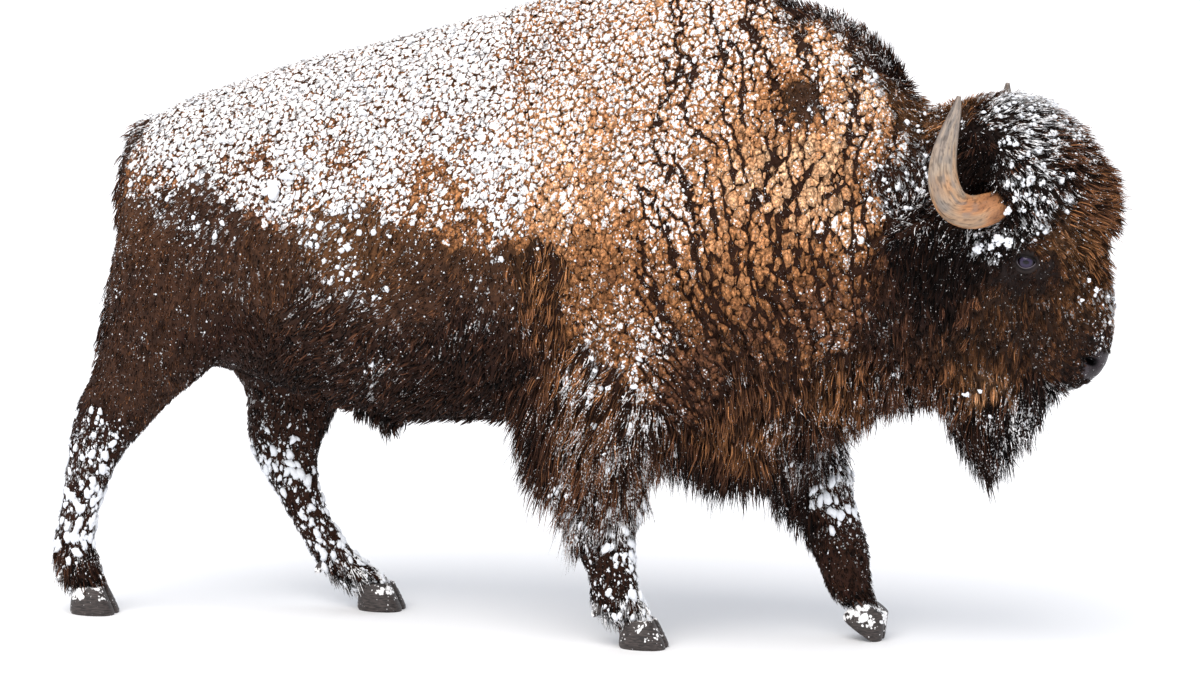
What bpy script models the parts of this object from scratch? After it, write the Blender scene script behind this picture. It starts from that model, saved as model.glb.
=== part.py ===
"""A life-size walking bull bison in winter coat, as solid pieces that meet face to face.

Metres, +Z up, +X towards the animal's nose, -Y its right side. The origin is on the floor, under the
middle of the whole animal. The body is lofted from a few masses, joined into one surface out to the tips
of the coat, and then parted by thin cuts into head, neck, trunk and legs. Horns, eyes, ears, tail, hooves
and dewclaws are pieces of their own.
"""

import bmesh
import bpy
import numpy as np
from mathutils import Matrix, Vector

# --- Driving sizes -------------------------------------------------------------------------------------
GAP = 0.0003  # left between pieces that touch
ROOM = 0.0004  # how much wider a pocket is than the round piece in it
VOXEL = 0.015  # grain of the joined body surface
SMOOTH_STEPS = 7
BODY_TRIANGLES = 2500
RING_SIDES = 28
STATION_STEPS = 5  # rings between two stations of a mass

MID_X = 0.0675  # the animal is moved by this, so that the origin is under its middle
TRACK = 0.15  # a foot's distance from the middle plane

HEAD_TURN = np.radians(-3.5)  # the head looks a little to the animal's right
HEAD_PIVOT = Vector((0.86, 0.0, 1.10))

EYE_RADIUS = 0.0215
EYE_CENTRE = Vector((1.222, 0.148, 1.110))
EYE_SOCKET_REACH = 0.075  # length of the open cone in front of the eye
EYE_OUTWARD = (0.18, 1.0, 0.02)  # where the left cone points
EYE_OPENING = ((0.0225, 0.0140), (0.044, 0.034))  # half width and height, at the eye and at the coat

HOOF_LENGTH = 0.130
HOOF_WIDTH = 0.118
HOOF_HEIGHT = 0.078
CLEFT = 0.007  # gap between the two claws of a hoof
DEWCLAW_LENGTH = 0.050
DEWCLAW_RADIUS = 0.016

# --- Body masses ---------------------------------------------------------------------------------------
# Upright sections of the trunk and neck, from rump to throat:
# x, bottom z, top z, half width, taper to the top, taper to the bottom
TRUNK = (
    (-1.400, 0.88, 1.28, 0.090, 0.10, 0.10),
    (-1.365, 0.78, 1.37, 0.175, 0.18, 0.15),
    (-1.260, 0.72, 1.460, 0.240, 0.26, 0.20),
    (-1.080, 0.69, 1.527, 0.282, 0.34, 0.22),
    (-0.860, 0.630, 1.598, 0.315, 0.40, 0.20),
    (-0.620, 0.562, 1.660, 0.342, 0.44, 0.20),
    (-0.360, 0.575, 1.728, 0.358, 0.48, 0.22),
    (-0.120, 0.568, 1.796, 0.368, 0.54, 0.26),
    (0.140, 0.462, 1.832, 0.374, 0.58, 0.42),
    (0.360, 0.385, 1.824, 0.372, 0.60, 0.50),
    (0.540, 0.425, 1.795, 0.354, 0.56, 0.50),
    (0.680, 0.545, 1.757, 0.328, 0.52, 0.46),
    (0.800, 0.608, 1.672, 0.298, 0.46, 0.42),
    (0.900, 0.655, 1.545, 0.262, 0.38, 0.38),
    (1.020, 0.760, 1.400, 0.200, 0.30, 0.30),
)
# Level sections of the head and beard, from crown to beard tip:
# z, back x, front x, half width, taper to the front, middle y
HEAD = (
    (1.552, 1.070, 1.215, 0.095, 0.00, 0.0),
    (1.524, 0.965, 1.275, 0.156, 0.05, 0.0),
    (1.458, 0.905, 1.347, 0.194, 0.10, 0.0),
    (1.370, 0.885, 1.412, 0.210, 0.14, 0.0),
    (1.280, 0.875, 1.456, 0.214, 0.20, 0.0),
    (1.200, 0.872, 1.450, 0.205, 0.26, 0.0),
    (1.120, 0.875, 1.412, 0.190, 0.26, 0.0),
    (1.050, 0.880, 1.384, 0.178, 0.26, 0.0),
    (0.970, 0.888, 1.362, 0.168, 0.26, 0.0),
    (0.900, 0.895, 1.342, 0.160, 0.26, 0.0),
    (0.840, 0.902, 1.324, 0.153, 0.26, 0.0),
    (0.790, 0.912, 1.308, 0.144, 0.24, 0.0),
    (0.745, 0.925, 1.288, 0.130, 0.22, 0.0),
    (0.690, 0.940, 1.268, 0.112, 0.18, 0.0),
    (0.620, 0.965, 1.238, 0.088, 0.10, 0.0),
    (0.555, 1.005, 1.185, 0.064, 0.05, 0.0),
    (0.505, 1.050, 1.142, 0.040, 0.00, 0.0),
    (0.464, 1.085, 1.124, 0.018, 0.00, 0.0),
)
# Level sections of the nose and mouth, from between the eyes to the chin, in the same columns.
MUZZLE = (
    (1.200, 1.120, 1.396, 0.120, 0.20, 0.0),
    (1.130, 1.120, 1.428, 0.128, 0.22, 0.0),
    (1.050, 1.120, 1.448, 0.120, 0.20, 0.0),
    (0.970, 1.130, 1.455, 0.108, 0.14, 0.0),
    (0.905, 1.145, 1.448, 0.098, 0.04, 0.0),
    (0.855, 1.165, 1.441, 0.091, 0.00, 0.0),
    (0.806, 1.175, 1.424, 0.082, 0.00, 0.0),
    (0.764, 1.190, 1.378, 0.066, 0.10, 0.0),
    (0.738, 1.210, 1.318, 0.040, 0.10, 0.0),
)
# Level sections of the legs, from inside the trunk to the top of the hoof, in the same columns.
RIGHT_HIND = (
    (1.250, -1.300, -1.040, 0.070, 0.0, -0.120),
    (1.100, -1.382, -0.990, 0.118, 0.0, -0.135),
    (0.950, -1.414, -0.990, 0.128, 0.0, -0.145),
    (0.800, -1.434, -1.020, 0.118, 0.0, -0.152),
    (0.705, -1.456, -1.100, 0.102, 0.0, -0.154),
    (0.620, -1.505, -1.205, 0.083, 0.0, -0.152),
    (0.530, -1.532, -1.292, 0.066, 0.0, -TRACK),
    (0.450, -1.545, -1.362, 0.056, 0.0, -TRACK),
    (0.370, -1.556, -1.405, 0.050, 0.0, -TRACK),
    (0.280, -1.572, -1.438, 0.047, 0.0, -TRACK),
    (0.190, -1.594, -1.450, 0.051, 0.0, -TRACK),
    (0.120, -1.582, -1.425, 0.057, 0.0, -TRACK),
    (0.075, -1.556, -1.412, 0.060, 0.0, -TRACK),
    (0.046, -1.536, -1.440, 0.050, 0.0, -TRACK),
)
LEFT_HIND = (
    (1.150, -1.260, -0.960, 0.080, 0.0, 0.120),
    (1.000, -1.330, -0.900, 0.118, 0.0, 0.138),
    (0.850, -1.280, -0.800, 0.130, 0.0, 0.148),
    (0.720, -1.190, -0.770, 0.112, 0.0, 0.152),
    (0.610, -1.112, -0.800, 0.090, 0.0, 0.152),
    (0.520, -1.114, -0.842, 0.071, 0.0, TRACK),
    (0.440, -1.096, -0.876, 0.059, 0.0, TRACK),
    (0.360, -1.050, -0.876, 0.052, 0.0, TRACK),
    (0.280, -1.000, -0.848, 0.048, 0.0, TRACK),
    (0.200, -0.950, -0.798, 0.048, 0.0, TRACK),
    (0.140, -0.915, -0.742, 0.052, 0.0, TRACK),
    (0.100, -0.885, -0.672, 0.057, 0.0, TRACK),
    (0.068, -0.838, -0.655, 0.060, 0.0, TRACK),
    (0.044, -0.792, -0.672, 0.050, 0.0, TRACK),
)
RIGHT_FORE = (
    (1.000, 0.010, 0.240, 0.060, 0.0, -0.200),
    (0.860, -0.080, 0.270, 0.096, 0.0, -0.196),
    (0.740, -0.145, 0.270, 0.118, 0.0, -0.190),
    (0.620, -0.188, 0.250, 0.122, 0.0, -0.180),
    (0.540, -0.194, 0.230, 0.112, 0.0, -0.168),
    (0.460, -0.164, 0.205, 0.100, 0.0, -0.158),
    (0.390, -0.118, 0.178, 0.087, 0.0, -TRACK),
    (0.320, -0.074, 0.160, 0.074, 0.0, -TRACK),
    (0.260, -0.034, 0.154, 0.065, 0.0, -TRACK),
    (0.200, 0.004, 0.158, 0.060, 0.0, -TRACK),
    (0.140, 0.010, 0.172, 0.060, 0.0, -TRACK),
    (0.100, 0.012, 0.196, 0.062, 0.0, -TRACK),
    (0.070, 0.048, 0.212, 0.062, 0.0, -TRACK),
    (0.044, 0.082, 0.196, 0.052, 0.0, -TRACK),
)
LEFT_FORE = (
    (0.980, 0.280, 0.540, 0.060, 0.0, 0.196),
    (0.840, 0.310, 0.610, 0.096, 0.0, 0.190),
    (0.700, 0.345, 0.655, 0.114, 0.0, 0.184),
    (0.580, 0.370, 0.672, 0.114, 0.0, 0.176),
    (0.500, 0.388, 0.680, 0.104, 0.0, 0.165),
    (0.430, 0.405, 0.692, 0.093, 0.0, 0.156),
    (0.360, 0.440, 0.714, 0.080, 0.0, TRACK),
    (0.300, 0.500, 0.738, 0.069, 0.0, TRACK),
    (0.240, 0.562, 0.750, 0.061, 0.0, TRACK),
    (0.170, 0.596, 0.752, 0.057, 0.0, TRACK),
    (0.125, 0.612, 0.764, 0.059, 0.0, TRACK),
    (0.090, 0.638, 0.784, 0.060, 0.0, TRACK),
    (0.062, 0.686, 0.784, 0.050, 0.0, TRACK),
)
# The tuft of the sheath under the belly, in the same columns.
SHEATH = (
    (0.640, -0.700, -0.560, 0.050, 0.0, 0.0),
    (0.560, -0.670, -0.580, 0.034, 0.0, 0.0),
    (0.505, -0.652, -0.612, 0.014, 0.0, 0.0),
)

# --- Round pieces: middle x, y, z and radius along a path ----------------------------------------------
HORN_PATH = (
    (1.160, 0.120, 1.270, 0.0400),
    (1.130, 0.180, 1.252, 0.0425),
    (1.090, 0.235, 1.245, 0.0440),
    (1.052, 0.277, 1.268, 0.0440),
    (1.034, 0.300, 1.320, 0.0415),
    (1.032, 0.304, 1.385, 0.0350),
    (1.042, 0.292, 1.450, 0.0260),
    (1.054, 0.272, 1.510, 0.0155),
    (1.060, 0.260, 1.552, 0.0060),
)
TAIL_PATH = (
    (-1.300, 0.0, 1.405, 0.030),
    (-1.362, 0.0, 1.375, 0.036),
    (-1.400, 0.0, 1.290, 0.034),
    (-1.416, 0.0, 1.180, 0.030),
    (-1.424, 0.0, 1.060, 0.029),
    (-1.430, 0.0, 0.980, 0.033),
    (-1.436, 0.0, 0.890, 0.042),
    (-1.442, 0.0, 0.790, 0.032),
    (-1.448, 0.0, 0.700, 0.008),
)
TAIL_TUFT_TOP = 0.985

# --- Ear: middle x, y, z, half breadth and half thickness along a path ---------------------------------
EAR_PATH = (
    (1.015, 0.150, 1.205, 0.022, 0.014),
    (0.990, 0.195, 1.200, 0.036, 0.018),
    (0.958, 0.238, 1.190, 0.044, 0.018),
    (0.922, 0.278, 1.176, 0.040, 0.015),
    (0.888, 0.306, 1.160, 0.026, 0.010),
    (0.866, 0.320, 1.148, 0.008, 0.004),
)

# --- Where the body is parted --------------------------------------------------------------------------
NECK_CUT_X = 0.905
SHOULDER_CUT_X = 0.560
BARREL_CUT_X = -0.250
RUMP_CUT_X = -1.000
BEARD_CUT = ((0.90, 0.640), (1.36, 0.752))  # two x, z points on the cut under the jaw
MUZZLE_CUT = ((1.245, 0.700), (1.480, 0.985))
THIGH_BACK = (-1.470, 1.080)  # x, z where the cut over a thigh meets the back of the leg
RIGHT_THIGH_FRONT = (-0.985, 0.800)  # x, z where it turns down at the flank
LEFT_THIGH_FRONT = (-0.735, 0.740)
THIGH_LEAN = 0.18  # how far forward that front runs for each metre down
RIGHT_HOCK_Z = 0.590
LEFT_HOCK_Z = 0.480
FORELEG_TOP_Z = 0.610
FORELEG_INNER_Y = 0.050
RIGHT_FORELEG_FRONT_X = 0.250
LEFT_FORELEG_BACK_X = 0.330
LEFT_FORELEG_FRONT_X = 0.880
KNEE_Z = 0.262
FAR = 3.0  # beyond the animal on any side

COLOURS = {  # base colour, roughness
    "coat_dark": ((0.035, 0.020, 0.015), 0.85),
    "coat_tan": ((0.270, 0.125, 0.048), 0.85),
    "coat_brown": ((0.095, 0.048, 0.028), 0.85),
    "horn": ((0.300, 0.200, 0.130), 0.45),
    "hoof": ((0.045, 0.038, 0.036), 0.40),
    "eye": ((0.030, 0.022, 0.030), 0.08),
}


# --- Helpers -------------------------------------------------------------------------------------------
def clear_scene():
    for item in list(bpy.data.objects):
        bpy.data.objects.remove(item, do_unlink=True)


def new_collection(name):
    made = bpy.data.collections.new(name)
    bpy.context.scene.collection.children.link(made)
    return made


def material(name):
    """A Principled BSDF with the finish of that name in COLOURS."""
    found = bpy.data.materials.get(name)
    if found:
        return found
    colour, roughness = COLOURS[name]
    made = bpy.data.materials.new(name)
    made.use_nodes = True
    shader = made.node_tree.nodes["Principled BSDF"]
    shader.inputs["Base Color"].default_value = (*colour, 1.0)
    shader.inputs["Roughness"].default_value = roughness
    return made


def through(stations, steps=STATION_STEPS):
    """Rows between the stations, on a Catmull-Rom curve through them."""
    rows = np.array(stations, float)
    padded = np.vstack([2 * rows[0] - rows[1], rows, 2 * rows[-1] - rows[-2]])
    before, start, end, after = padded[:-3], padded[1:-2], padded[2:-1], padded[3:]
    t = np.linspace(0, 1, steps, endpoint=False)[None, :, None]
    before, start, end, after = (part[:, None, :] for part in (before, start, end, after))
    curve = 0.5 * (
        2 * start
        + (end - before) * t
        + (2 * before - 5 * start + 4 * end - after) * t**2
        + (3 * start - before - 3 * end + after) * t**3
    )
    return np.vstack([curve.reshape(-1, rows.shape[1]), rows[-1:]])


def turn_steps(sides=RING_SIDES):
    return np.linspace(0, 2 * np.pi, sides, endpoint=False)


def upright_ring(x, bottom, top, half_width, top_taper, bottom_taper):
    """A section across the trunk: an ellipse that narrows towards its top and its bottom."""
    angle = turn_steps()
    rise = np.sin(angle)
    narrowing = 1 - top_taper * np.clip(rise, 0, 1) ** 1.3 - bottom_taper * np.clip(-rise, 0, 1) ** 1.6
    across = half_width * np.sign(np.cos(angle)) * np.abs(np.cos(angle)) ** 0.85 * narrowing
    height = (top + bottom) / 2 + (top - bottom) / 2 * rise
    return np.column_stack([np.full_like(angle, x), across, height])


def level_ring(z, back, front, half_width, front_taper, middle_y):
    """A section across the head or a leg: an ellipse that narrows towards its front."""
    angle = turn_steps()
    ahead = np.cos(angle)
    across = half_width * np.sin(angle) * (1 - front_taper * np.clip(ahead, 0, 1) ** 1.3)
    along = (front + back) / 2 + (front - back) / 2 * ahead
    return np.column_stack([along, middle_y + across, np.full_like(angle, z)])


def path_rings(points, breadth, thickness, sides, flat_side):
    """Rings square to a path. breadth lies along flat_side, thickness across it."""
    heading = np.gradient(points, axis=0)
    heading /= np.linalg.norm(heading, axis=1, keepdims=True)
    broad = flat_side - heading * (heading @ flat_side)[:, None]
    broad /= np.linalg.norm(broad, axis=1, keepdims=True)
    thin = np.cross(heading, broad)
    angle = turn_steps(sides)
    return [
        centre + np.outer(np.cos(angle) * b, u) + np.outer(np.sin(angle) * t, v)
        for centre, b, t, u, v in zip(points, breadth, thickness, broad, thin)
    ]


def loft(name, rings, collection, finish="coat_dark"):
    """A closed surface of triangles through rings that all have the same number of points."""
    sides = len(rings[0])
    mesh = bmesh.new()
    corners = [[mesh.verts.new(place) for place in ring] for ring in rings]
    for lower, upper in zip(corners, corners[1:]):
        for i in range(sides):
            j = (i + 1) % sides
            mesh.faces.new((lower[i], lower[j], upper[j], upper[i]))
    mesh.faces.new(corners[0])
    mesh.faces.new(corners[-1])
    bmesh.ops.recalc_face_normals(mesh, faces=mesh.faces)
    bmesh.ops.triangulate(mesh, faces=mesh.faces)
    data = bpy.data.meshes.new(name)
    mesh.to_mesh(data)
    mesh.free()
    made = bpy.data.objects.new(name, data)
    data.materials.append(material(finish))
    collection.objects.link(made)
    return made


def upright_mass(name, stations, collection):
    return loft(name, [upright_ring(*row) for row in through(stations)], collection)


def level_mass(name, stations, collection):
    return loft(name, [level_ring(*row) for row in through(stations)], collection)


def tube(name, stations, collection, finish, sides=10):
    """A round piece along a path, closed with small flat ends."""
    rows = through(stations, 2)
    side = np.array([0.0, 0.35, 1.0])
    return loft(name, path_rings(rows[:, :3], rows[:, 3], rows[:, 3], sides, side), collection, finish)


def evaluated_copy(source, name, collection):
    """The object's mesh with its modifiers applied, as a new object."""
    graph = bpy.context.evaluated_depsgraph_get()
    data = bpy.data.meshes.new_from_object(source.evaluated_get(graph))
    data.name = name
    made = bpy.data.objects.new(name, data)
    collection.objects.link(made)
    return made


def apply_modifiers(item):
    graph = bpy.context.evaluated_depsgraph_get()
    data = bpy.data.meshes.new_from_object(item.evaluated_get(graph))
    item.modifiers.clear()
    item.data = data


def joined(items, name, collection):
    """One object that holds the meshes of several, which are removed."""
    mesh = bmesh.new()
    for item in items:
        mesh.from_mesh(item.data)
        bpy.data.objects.remove(item, do_unlink=True)
    data = bpy.data.meshes.new(name)
    mesh.to_mesh(data)
    mesh.free()
    made = bpy.data.objects.new(name, data)
    collection.objects.link(made)
    return made


def hide_as_cutter(item):
    item.hide_render = True
    item.display_type = "WIRE"


def swollen(item, by, collection):
    """A copy whose surface stands out by that distance, to cut room for the original."""
    made = evaluated_copy(item, item.name + "_room", collection)
    mesh = bmesh.new()
    mesh.from_mesh(made.data)
    mesh.normal_update()
    for vert in mesh.verts:
        vert.co += vert.normal * by * max(1.0, vert.calc_shell_factor())
    mesh.to_mesh(made.data)
    mesh.free()
    hide_as_cutter(made)
    return made


def boolean(item, other, operation):
    cut = item.modifiers.new("cut_" + other.name, "BOOLEAN")
    cut.operation = operation
    cut.object = other


def turn_head(item):
    """Turns a piece of the head, as modelled looking straight ahead, about the neck."""
    there = Matrix.Translation(HEAD_PIVOT)
    item.data.transform(there @ Matrix.Rotation(HEAD_TURN, 4, "Z") @ there.inverted())


def mirrored_stations(stations, side):
    """Stations given for the left side, on the side asked for: 1 is left, -1 is right."""
    rows = np.array(stations, float)
    rows[:, 1] *= side
    return rows


# --- The body ------------------------------------------------------------------------------------------
def body_surface(work):
    """All masses joined, smoothed where they meet, and thinned to BODY_TRIANGLES."""
    masses = [upright_mass("trunk_mass", TRUNK, work)]
    for name, stations in (("head_mass", HEAD), ("muzzle_mass", MUZZLE)):
        masses.append(level_mass(name, stations, work))
        turn_head(masses[-1])
    for name, stations in (
        ("right_hind_mass", RIGHT_HIND),
        ("left_hind_mass", LEFT_HIND),
        ("right_fore_mass", RIGHT_FORE),
        ("left_fore_mass", LEFT_FORE),
        ("sheath_mass", SHEATH),
    ):
        masses.append(level_mass(name, stations, work))
    body = joined(masses, "body", work)
    remesh = body.modifiers.new("one_surface", "REMESH")
    remesh.mode = "VOXEL"
    remesh.voxel_size = VOXEL
    soften = body.modifiers.new("soften", "SMOOTH")
    soften.factor = 0.5
    soften.iterations = SMOOTH_STEPS
    apply_modifiers(body)
    thin = body.modifiers.new("thin", "DECIMATE")
    thin.ratio = BODY_TRIANGLES / (2 * len(body.data.polygons))
    apply_modifiers(body)
    hide_as_cutter(body)
    return body


def half_space(name, line, keep_above, collection):
    """A big block above or below a line of two x, z points."""
    (x0, z0), (x1, z1) = line
    slope = Vector((x1 - x0, 0, z1 - z0)).normalized()
    up = Vector((-slope.z, 0, slope.x))
    side = 1 if keep_above else -1
    start = Vector((x0, 0, z0)) + up * side * GAP / 2
    reach = up * side * 2 * FAR
    corners = [start - slope * FAR, start + slope * FAR]
    outline = [corners[0], corners[1], corners[1] + reach, corners[0] + reach]
    return prism(name, [(p.x, p.z) for p in outline], -FAR, FAR, collection)


def prism(name, outline, low_y, high_y, collection):
    """A block with a convex outline of x, z points, between two y values."""
    rings = [np.array([(x, y, z) for x, z in outline]) for y in (low_y, high_y)]
    made = loft(name, rings, collection)
    hide_as_cutter(made)
    return made


def block(name, low, high, collection):
    """A box between two corners."""
    x0, y0, z0 = low
    x1, y1, z1 = high
    rings = [np.array([(x0, y0, z), (x1, y0, z), (x1, y1, z), (x0, y1, z)]) for z in (z0, z1)]
    made = loft(name, rings, collection)
    hide_as_cutter(made)
    return made


def slab(name, x0, x1, collection):
    return block(name, (x0 + GAP / 2, -FAR, -FAR), (x1 - GAP / 2, FAR, FAR), collection)


def part_of(body, name, keep, remove, collection, finish):
    """The part of the body inside every cutter of keep and outside every cutter of remove."""
    made = bpy.data.objects.new(name, body.data.copy())
    made.data.materials.clear()
    made.data.materials.append(material(finish))
    collection.objects.link(made)
    for cutter in keep:
        boolean(made, cutter, "INTERSECT")
    for cutter in remove:
        boolean(made, cutter, "DIFFERENCE")
    return made


def thigh_outline(front, by):
    """Everything below and behind a thigh's cut, which is moved out by that distance."""
    (x0, z0), (x1, z1) = THIGH_BACK, front
    bottom = (x1 + by + (z1 + by + FAR) * THIGH_LEAN, -FAR)
    return ((-FAR, -FAR), bottom, (x1 + by, z1 + by), (x0 + by, z0 + by), (-FAR, z0 + by))


def part_body(body, sockets, nodes, cuts):
    """Parts the body into named pieces. Each leg's cutters come in a pair: the piece's own, and one
    a gap larger that takes it out of its neighbour."""
    inner, edge = FORELEG_INNER_Y, GAP
    legs = {}
    for side, y_low, y_high, x_low, x_high in (
        ("right", -FAR, -inner, -FAR / 2, RIGHT_FORELEG_FRONT_X),
        ("left", inner, FAR, LEFT_FORELEG_BACK_X, LEFT_FORELEG_FRONT_X),
    ):
        legs["fore", side] = (
            block(f"foreleg_{side}", (x_low, y_low, -FAR), (x_high, y_high, FORELEG_TOP_Z), cuts),
            block(
                f"foreleg_{side}_room",
                (x_low - edge, y_low - edge, -FAR),
                (x_high + edge, y_high + edge, FORELEG_TOP_Z + edge),
                cuts,
            ),
        )
    for side, front, y_low, y_high in (
        ("right", RIGHT_THIGH_FRONT, -FAR, -edge / 2),
        ("left", LEFT_THIGH_FRONT, edge / 2, FAR),
    ):
        legs["hind", side] = (
            prism(f"thigh_{side}", thigh_outline(front, 0.0), y_low, y_high, cuts),
            prism(f"thigh_{side}_room", thigh_outline(front, edge), y_low - edge, y_high + edge, cuts),
        )
    rear = slab("rear", -FAR, BARREL_CUT_X - edge, cuts)
    fore_rooms = [legs["fore", side][1] for side in ("right", "left")]
    hind_rooms = [legs["hind", side][1] for side in ("right", "left")]

    head_end = slab("head_end", NECK_CUT_X, FAR, cuts)
    above_beard = half_space("above_beard", BEARD_CUT, True, cuts)
    below_beard = half_space("below_beard", BEARD_CUT, False, cuts)
    behind_muzzle = half_space("behind_muzzle", MUZZLE_CUT, True, cuts)
    ahead_of_muzzle = half_space("ahead_of_muzzle", MUZZLE_CUT, False, cuts)
    part_of(body, "head", [head_end, above_beard, behind_muzzle], sockets["head"], nodes, "coat_dark")
    part_of(body, "muzzle", [head_end, above_beard, ahead_of_muzzle], [], nodes, "coat_dark")
    part_of(body, "beard", [head_end, below_beard], [], nodes, "coat_dark")

    neck = slab("neck_slab", SHOULDER_CUT_X, NECK_CUT_X, cuts)
    part_of(body, "neck", [neck], [fore_rooms[1], *sockets["head"]], nodes, "coat_tan")
    shoulders = slab("shoulder_slab", BARREL_CUT_X, SHOULDER_CUT_X, cuts)
    part_of(body, "hump_and_chest", [shoulders], fore_rooms, nodes, "coat_tan")
    barrel = slab("barrel_slab", RUMP_CUT_X, BARREL_CUT_X, cuts)
    part_of(body, "barrel", [barrel], hind_rooms, nodes, "coat_brown")
    rump = slab("rump_slab", -FAR, RUMP_CUT_X, cuts)
    part_of(body, "rump", [rump], [*hind_rooms, *sockets["tail"]], nodes, "coat_brown")

    for side, hock in (("right", RIGHT_HOCK_Z), ("left", LEFT_HOCK_Z)):
        own = legs["hind", side][0]
        level = ((-1.0, hock), (0.0, hock))
        upper = half_space(f"above_hock_{side}", level, True, cuts)
        lower = half_space(f"below_hock_{side}", level, False, cuts)
        room = sockets["hind", side]
        part_of(body, f"hindleg_{side}_thigh", [rear, own, upper], sockets["tail"], nodes, "coat_dark")
        part_of(body, f"hindleg_{side}_shank", [rear, own, lower], room, nodes, "coat_dark")
    level = ((0.0, KNEE_Z), (1.0, KNEE_Z))
    above_knee = half_space("above_knee", level, True, cuts)
    below_knee = half_space("below_knee", level, False, cuts)
    front = slab("front", BARREL_CUT_X, FAR, cuts)
    for side in ("right", "left"):
        own = legs["fore", side][0]
        room = sockets["fore", side]
        part_of(body, f"foreleg_{side}_upper", [front, own, above_knee], [], nodes, "coat_dark")
        part_of(body, f"foreleg_{side}_shank", [front, own, below_knee], room, nodes, "coat_dark")


# --- Head pieces ---------------------------------------------------------------------------------------
def side_name(side):
    return "left" if side > 0 else "right"


def horn(side, nodes):
    made = tube(f"horn_{side_name(side)}", mirrored_stations(HORN_PATH, side), nodes, "horn")
    made.data.shade_smooth()
    turn_head(made)
    return made


def ear(side, nodes):
    """A flat leaf that points out and back from the side of the head."""
    rows = through(mirrored_stations(EAR_PATH, side), 2)
    rings = path_rings(rows[:, :3], rows[:, 3], rows[:, 4], 8, np.array([0.15, 0.0, 1.0]))
    made = loft(f"ear_{side_name(side)}", rings, nodes, "coat_dark")
    turn_head(made)
    return made


def eye(side, nodes):
    """A ball in its socket."""
    centre = EYE_CENTRE.copy()
    centre.y *= side
    mesh = bmesh.new()
    bmesh.ops.create_uvsphere(mesh, u_segments=12, v_segments=8, radius=EYE_RADIUS)
    bmesh.ops.translate(mesh, verts=mesh.verts, vec=centre)
    bmesh.ops.triangulate(mesh, faces=mesh.faces)
    data = bpy.data.meshes.new(f"eye_{side_name(side)}")
    mesh.to_mesh(data)
    mesh.free()
    data.shade_smooth()
    made = bpy.data.objects.new(data.name, data)
    data.materials.append(material("eye"))
    nodes.objects.link(made)
    turn_head(made)
    return made


def eye_opening(side, work):
    """The open cone through the coat in front of an eye, as wide as the lids."""
    centre = np.array(EYE_CENTRE) * (1, side, 1)
    outward = np.array(EYE_OUTWARD) * (1, side, 1)
    outward /= np.linalg.norm(outward)
    reach = np.array([0.0, EYE_SOCKET_REACH])
    points = centre + np.outer(reach, outward)
    half_wide, half_tall = np.array(EYE_OPENING).T
    rings = path_rings(points, half_wide, half_tall, 12, np.array([1.0, 0.0, -0.1]))
    made = loft(f"eye_opening_{side_name(side)}", rings, work)
    turn_head(made)
    hide_as_cutter(made)
    return made


# --- Feet ----------------------------------------------------------------------------------------------
# Foot name: toe x, y, and pitch in degrees, which points the toe down
FEET = {
    ("fore", "right"): (0.238, -TRACK, 0.0),
    ("fore", "left"): (0.776, TRACK, 34.0),
    ("hind", "right"): (-1.392, -TRACK, 0.0),
    ("hind", "left"): (-0.628, TRACK, 0.0),
}
CLAW_LEVELS = (  # height, heel and toe as shares of the hoof's height and length, and breadth
    (0.00, 0.03, 1.00, 0.95),
    (0.15, 0.00, 0.99, 1.00),
    (0.60, 0.03, 0.86, 0.94),
    (1.00, 0.10, 0.74, 0.78),
)
TOE_PRESS = 0.010  # how far a pitched toe is pressed down, to be cut off level with the floor


def claw(foot, inner, nodes):
    """One claw of a cloven hoof: flat below and along the cleft, round outside, steep at the toe."""
    toe_x, y, pitch = FEET[foot]
    girdle, side = foot
    outward = 1 if side == "left" else -1
    away = -outward if inner else outward
    breadth = (HOOF_WIDTH - CLEFT) / 2
    angle = turn_steps(10)
    ahead = (1 + np.cos(angle)) / 2
    bulge = np.clip(np.sin(angle), 0, 1) ** 0.75
    inset = np.clip(-np.sin(angle), 0, 1) ** 0.4
    rings = []
    for height, heel, toe, wide in CLAW_LEVELS:
        along = (heel + (toe - heel) * ahead - 1) * HOOF_LENGTH
        across = breadth * (0.20 + (wide - 0.20) * bulge - 0.20 * inset)
        rings.append(np.column_stack([along, across * away, np.full_like(angle, height * HOOF_HEIGHT)]))
    word = "inner" if inner else "outer"
    made = loft(f"hoof_{girdle}_{side}_{word}", rings, nodes, "hoof")
    lean = Matrix.Rotation(np.radians(pitch), 4, "Y")
    press = TOE_PRESS if pitch else 0.0
    made.data.transform(Matrix.Translation((toe_x, y + away * CLEFT / 2, -press)) @ lean)
    return made


def level_sole(item, work):
    """Takes off what a pitched hoof has below the floor, which leaves a small flat at the toe."""
    made = block("floor_" + item.name, (-FAR, -FAR, -FAR), (FAR, FAR, 0.0), work)
    hide_as_cutter(made)
    boolean(item, made, "DIFFERENCE")


DEWCLAW_SPREAD = 0.026  # from the middle of the leg
DEWCLAW_LINE = (-0.60, 0.12, -0.79)  # down, back and away from the middle of the leg
DEWCLAW_SHAPE = ((0.0, 0.9), (0.45, 1.0), (0.8, 0.75), (1.0, 0.3))  # shares of the length and radius
DEWCLAW_PLACES = {  # x, z at the back of the fetlock
    ("fore", "right"): (0.046, 0.118),
    ("fore", "left"): (0.660, 0.150),
    ("hind", "right"): (-1.545, 0.130),
    ("hind", "left"): (-0.872, 0.134),
}


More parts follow.
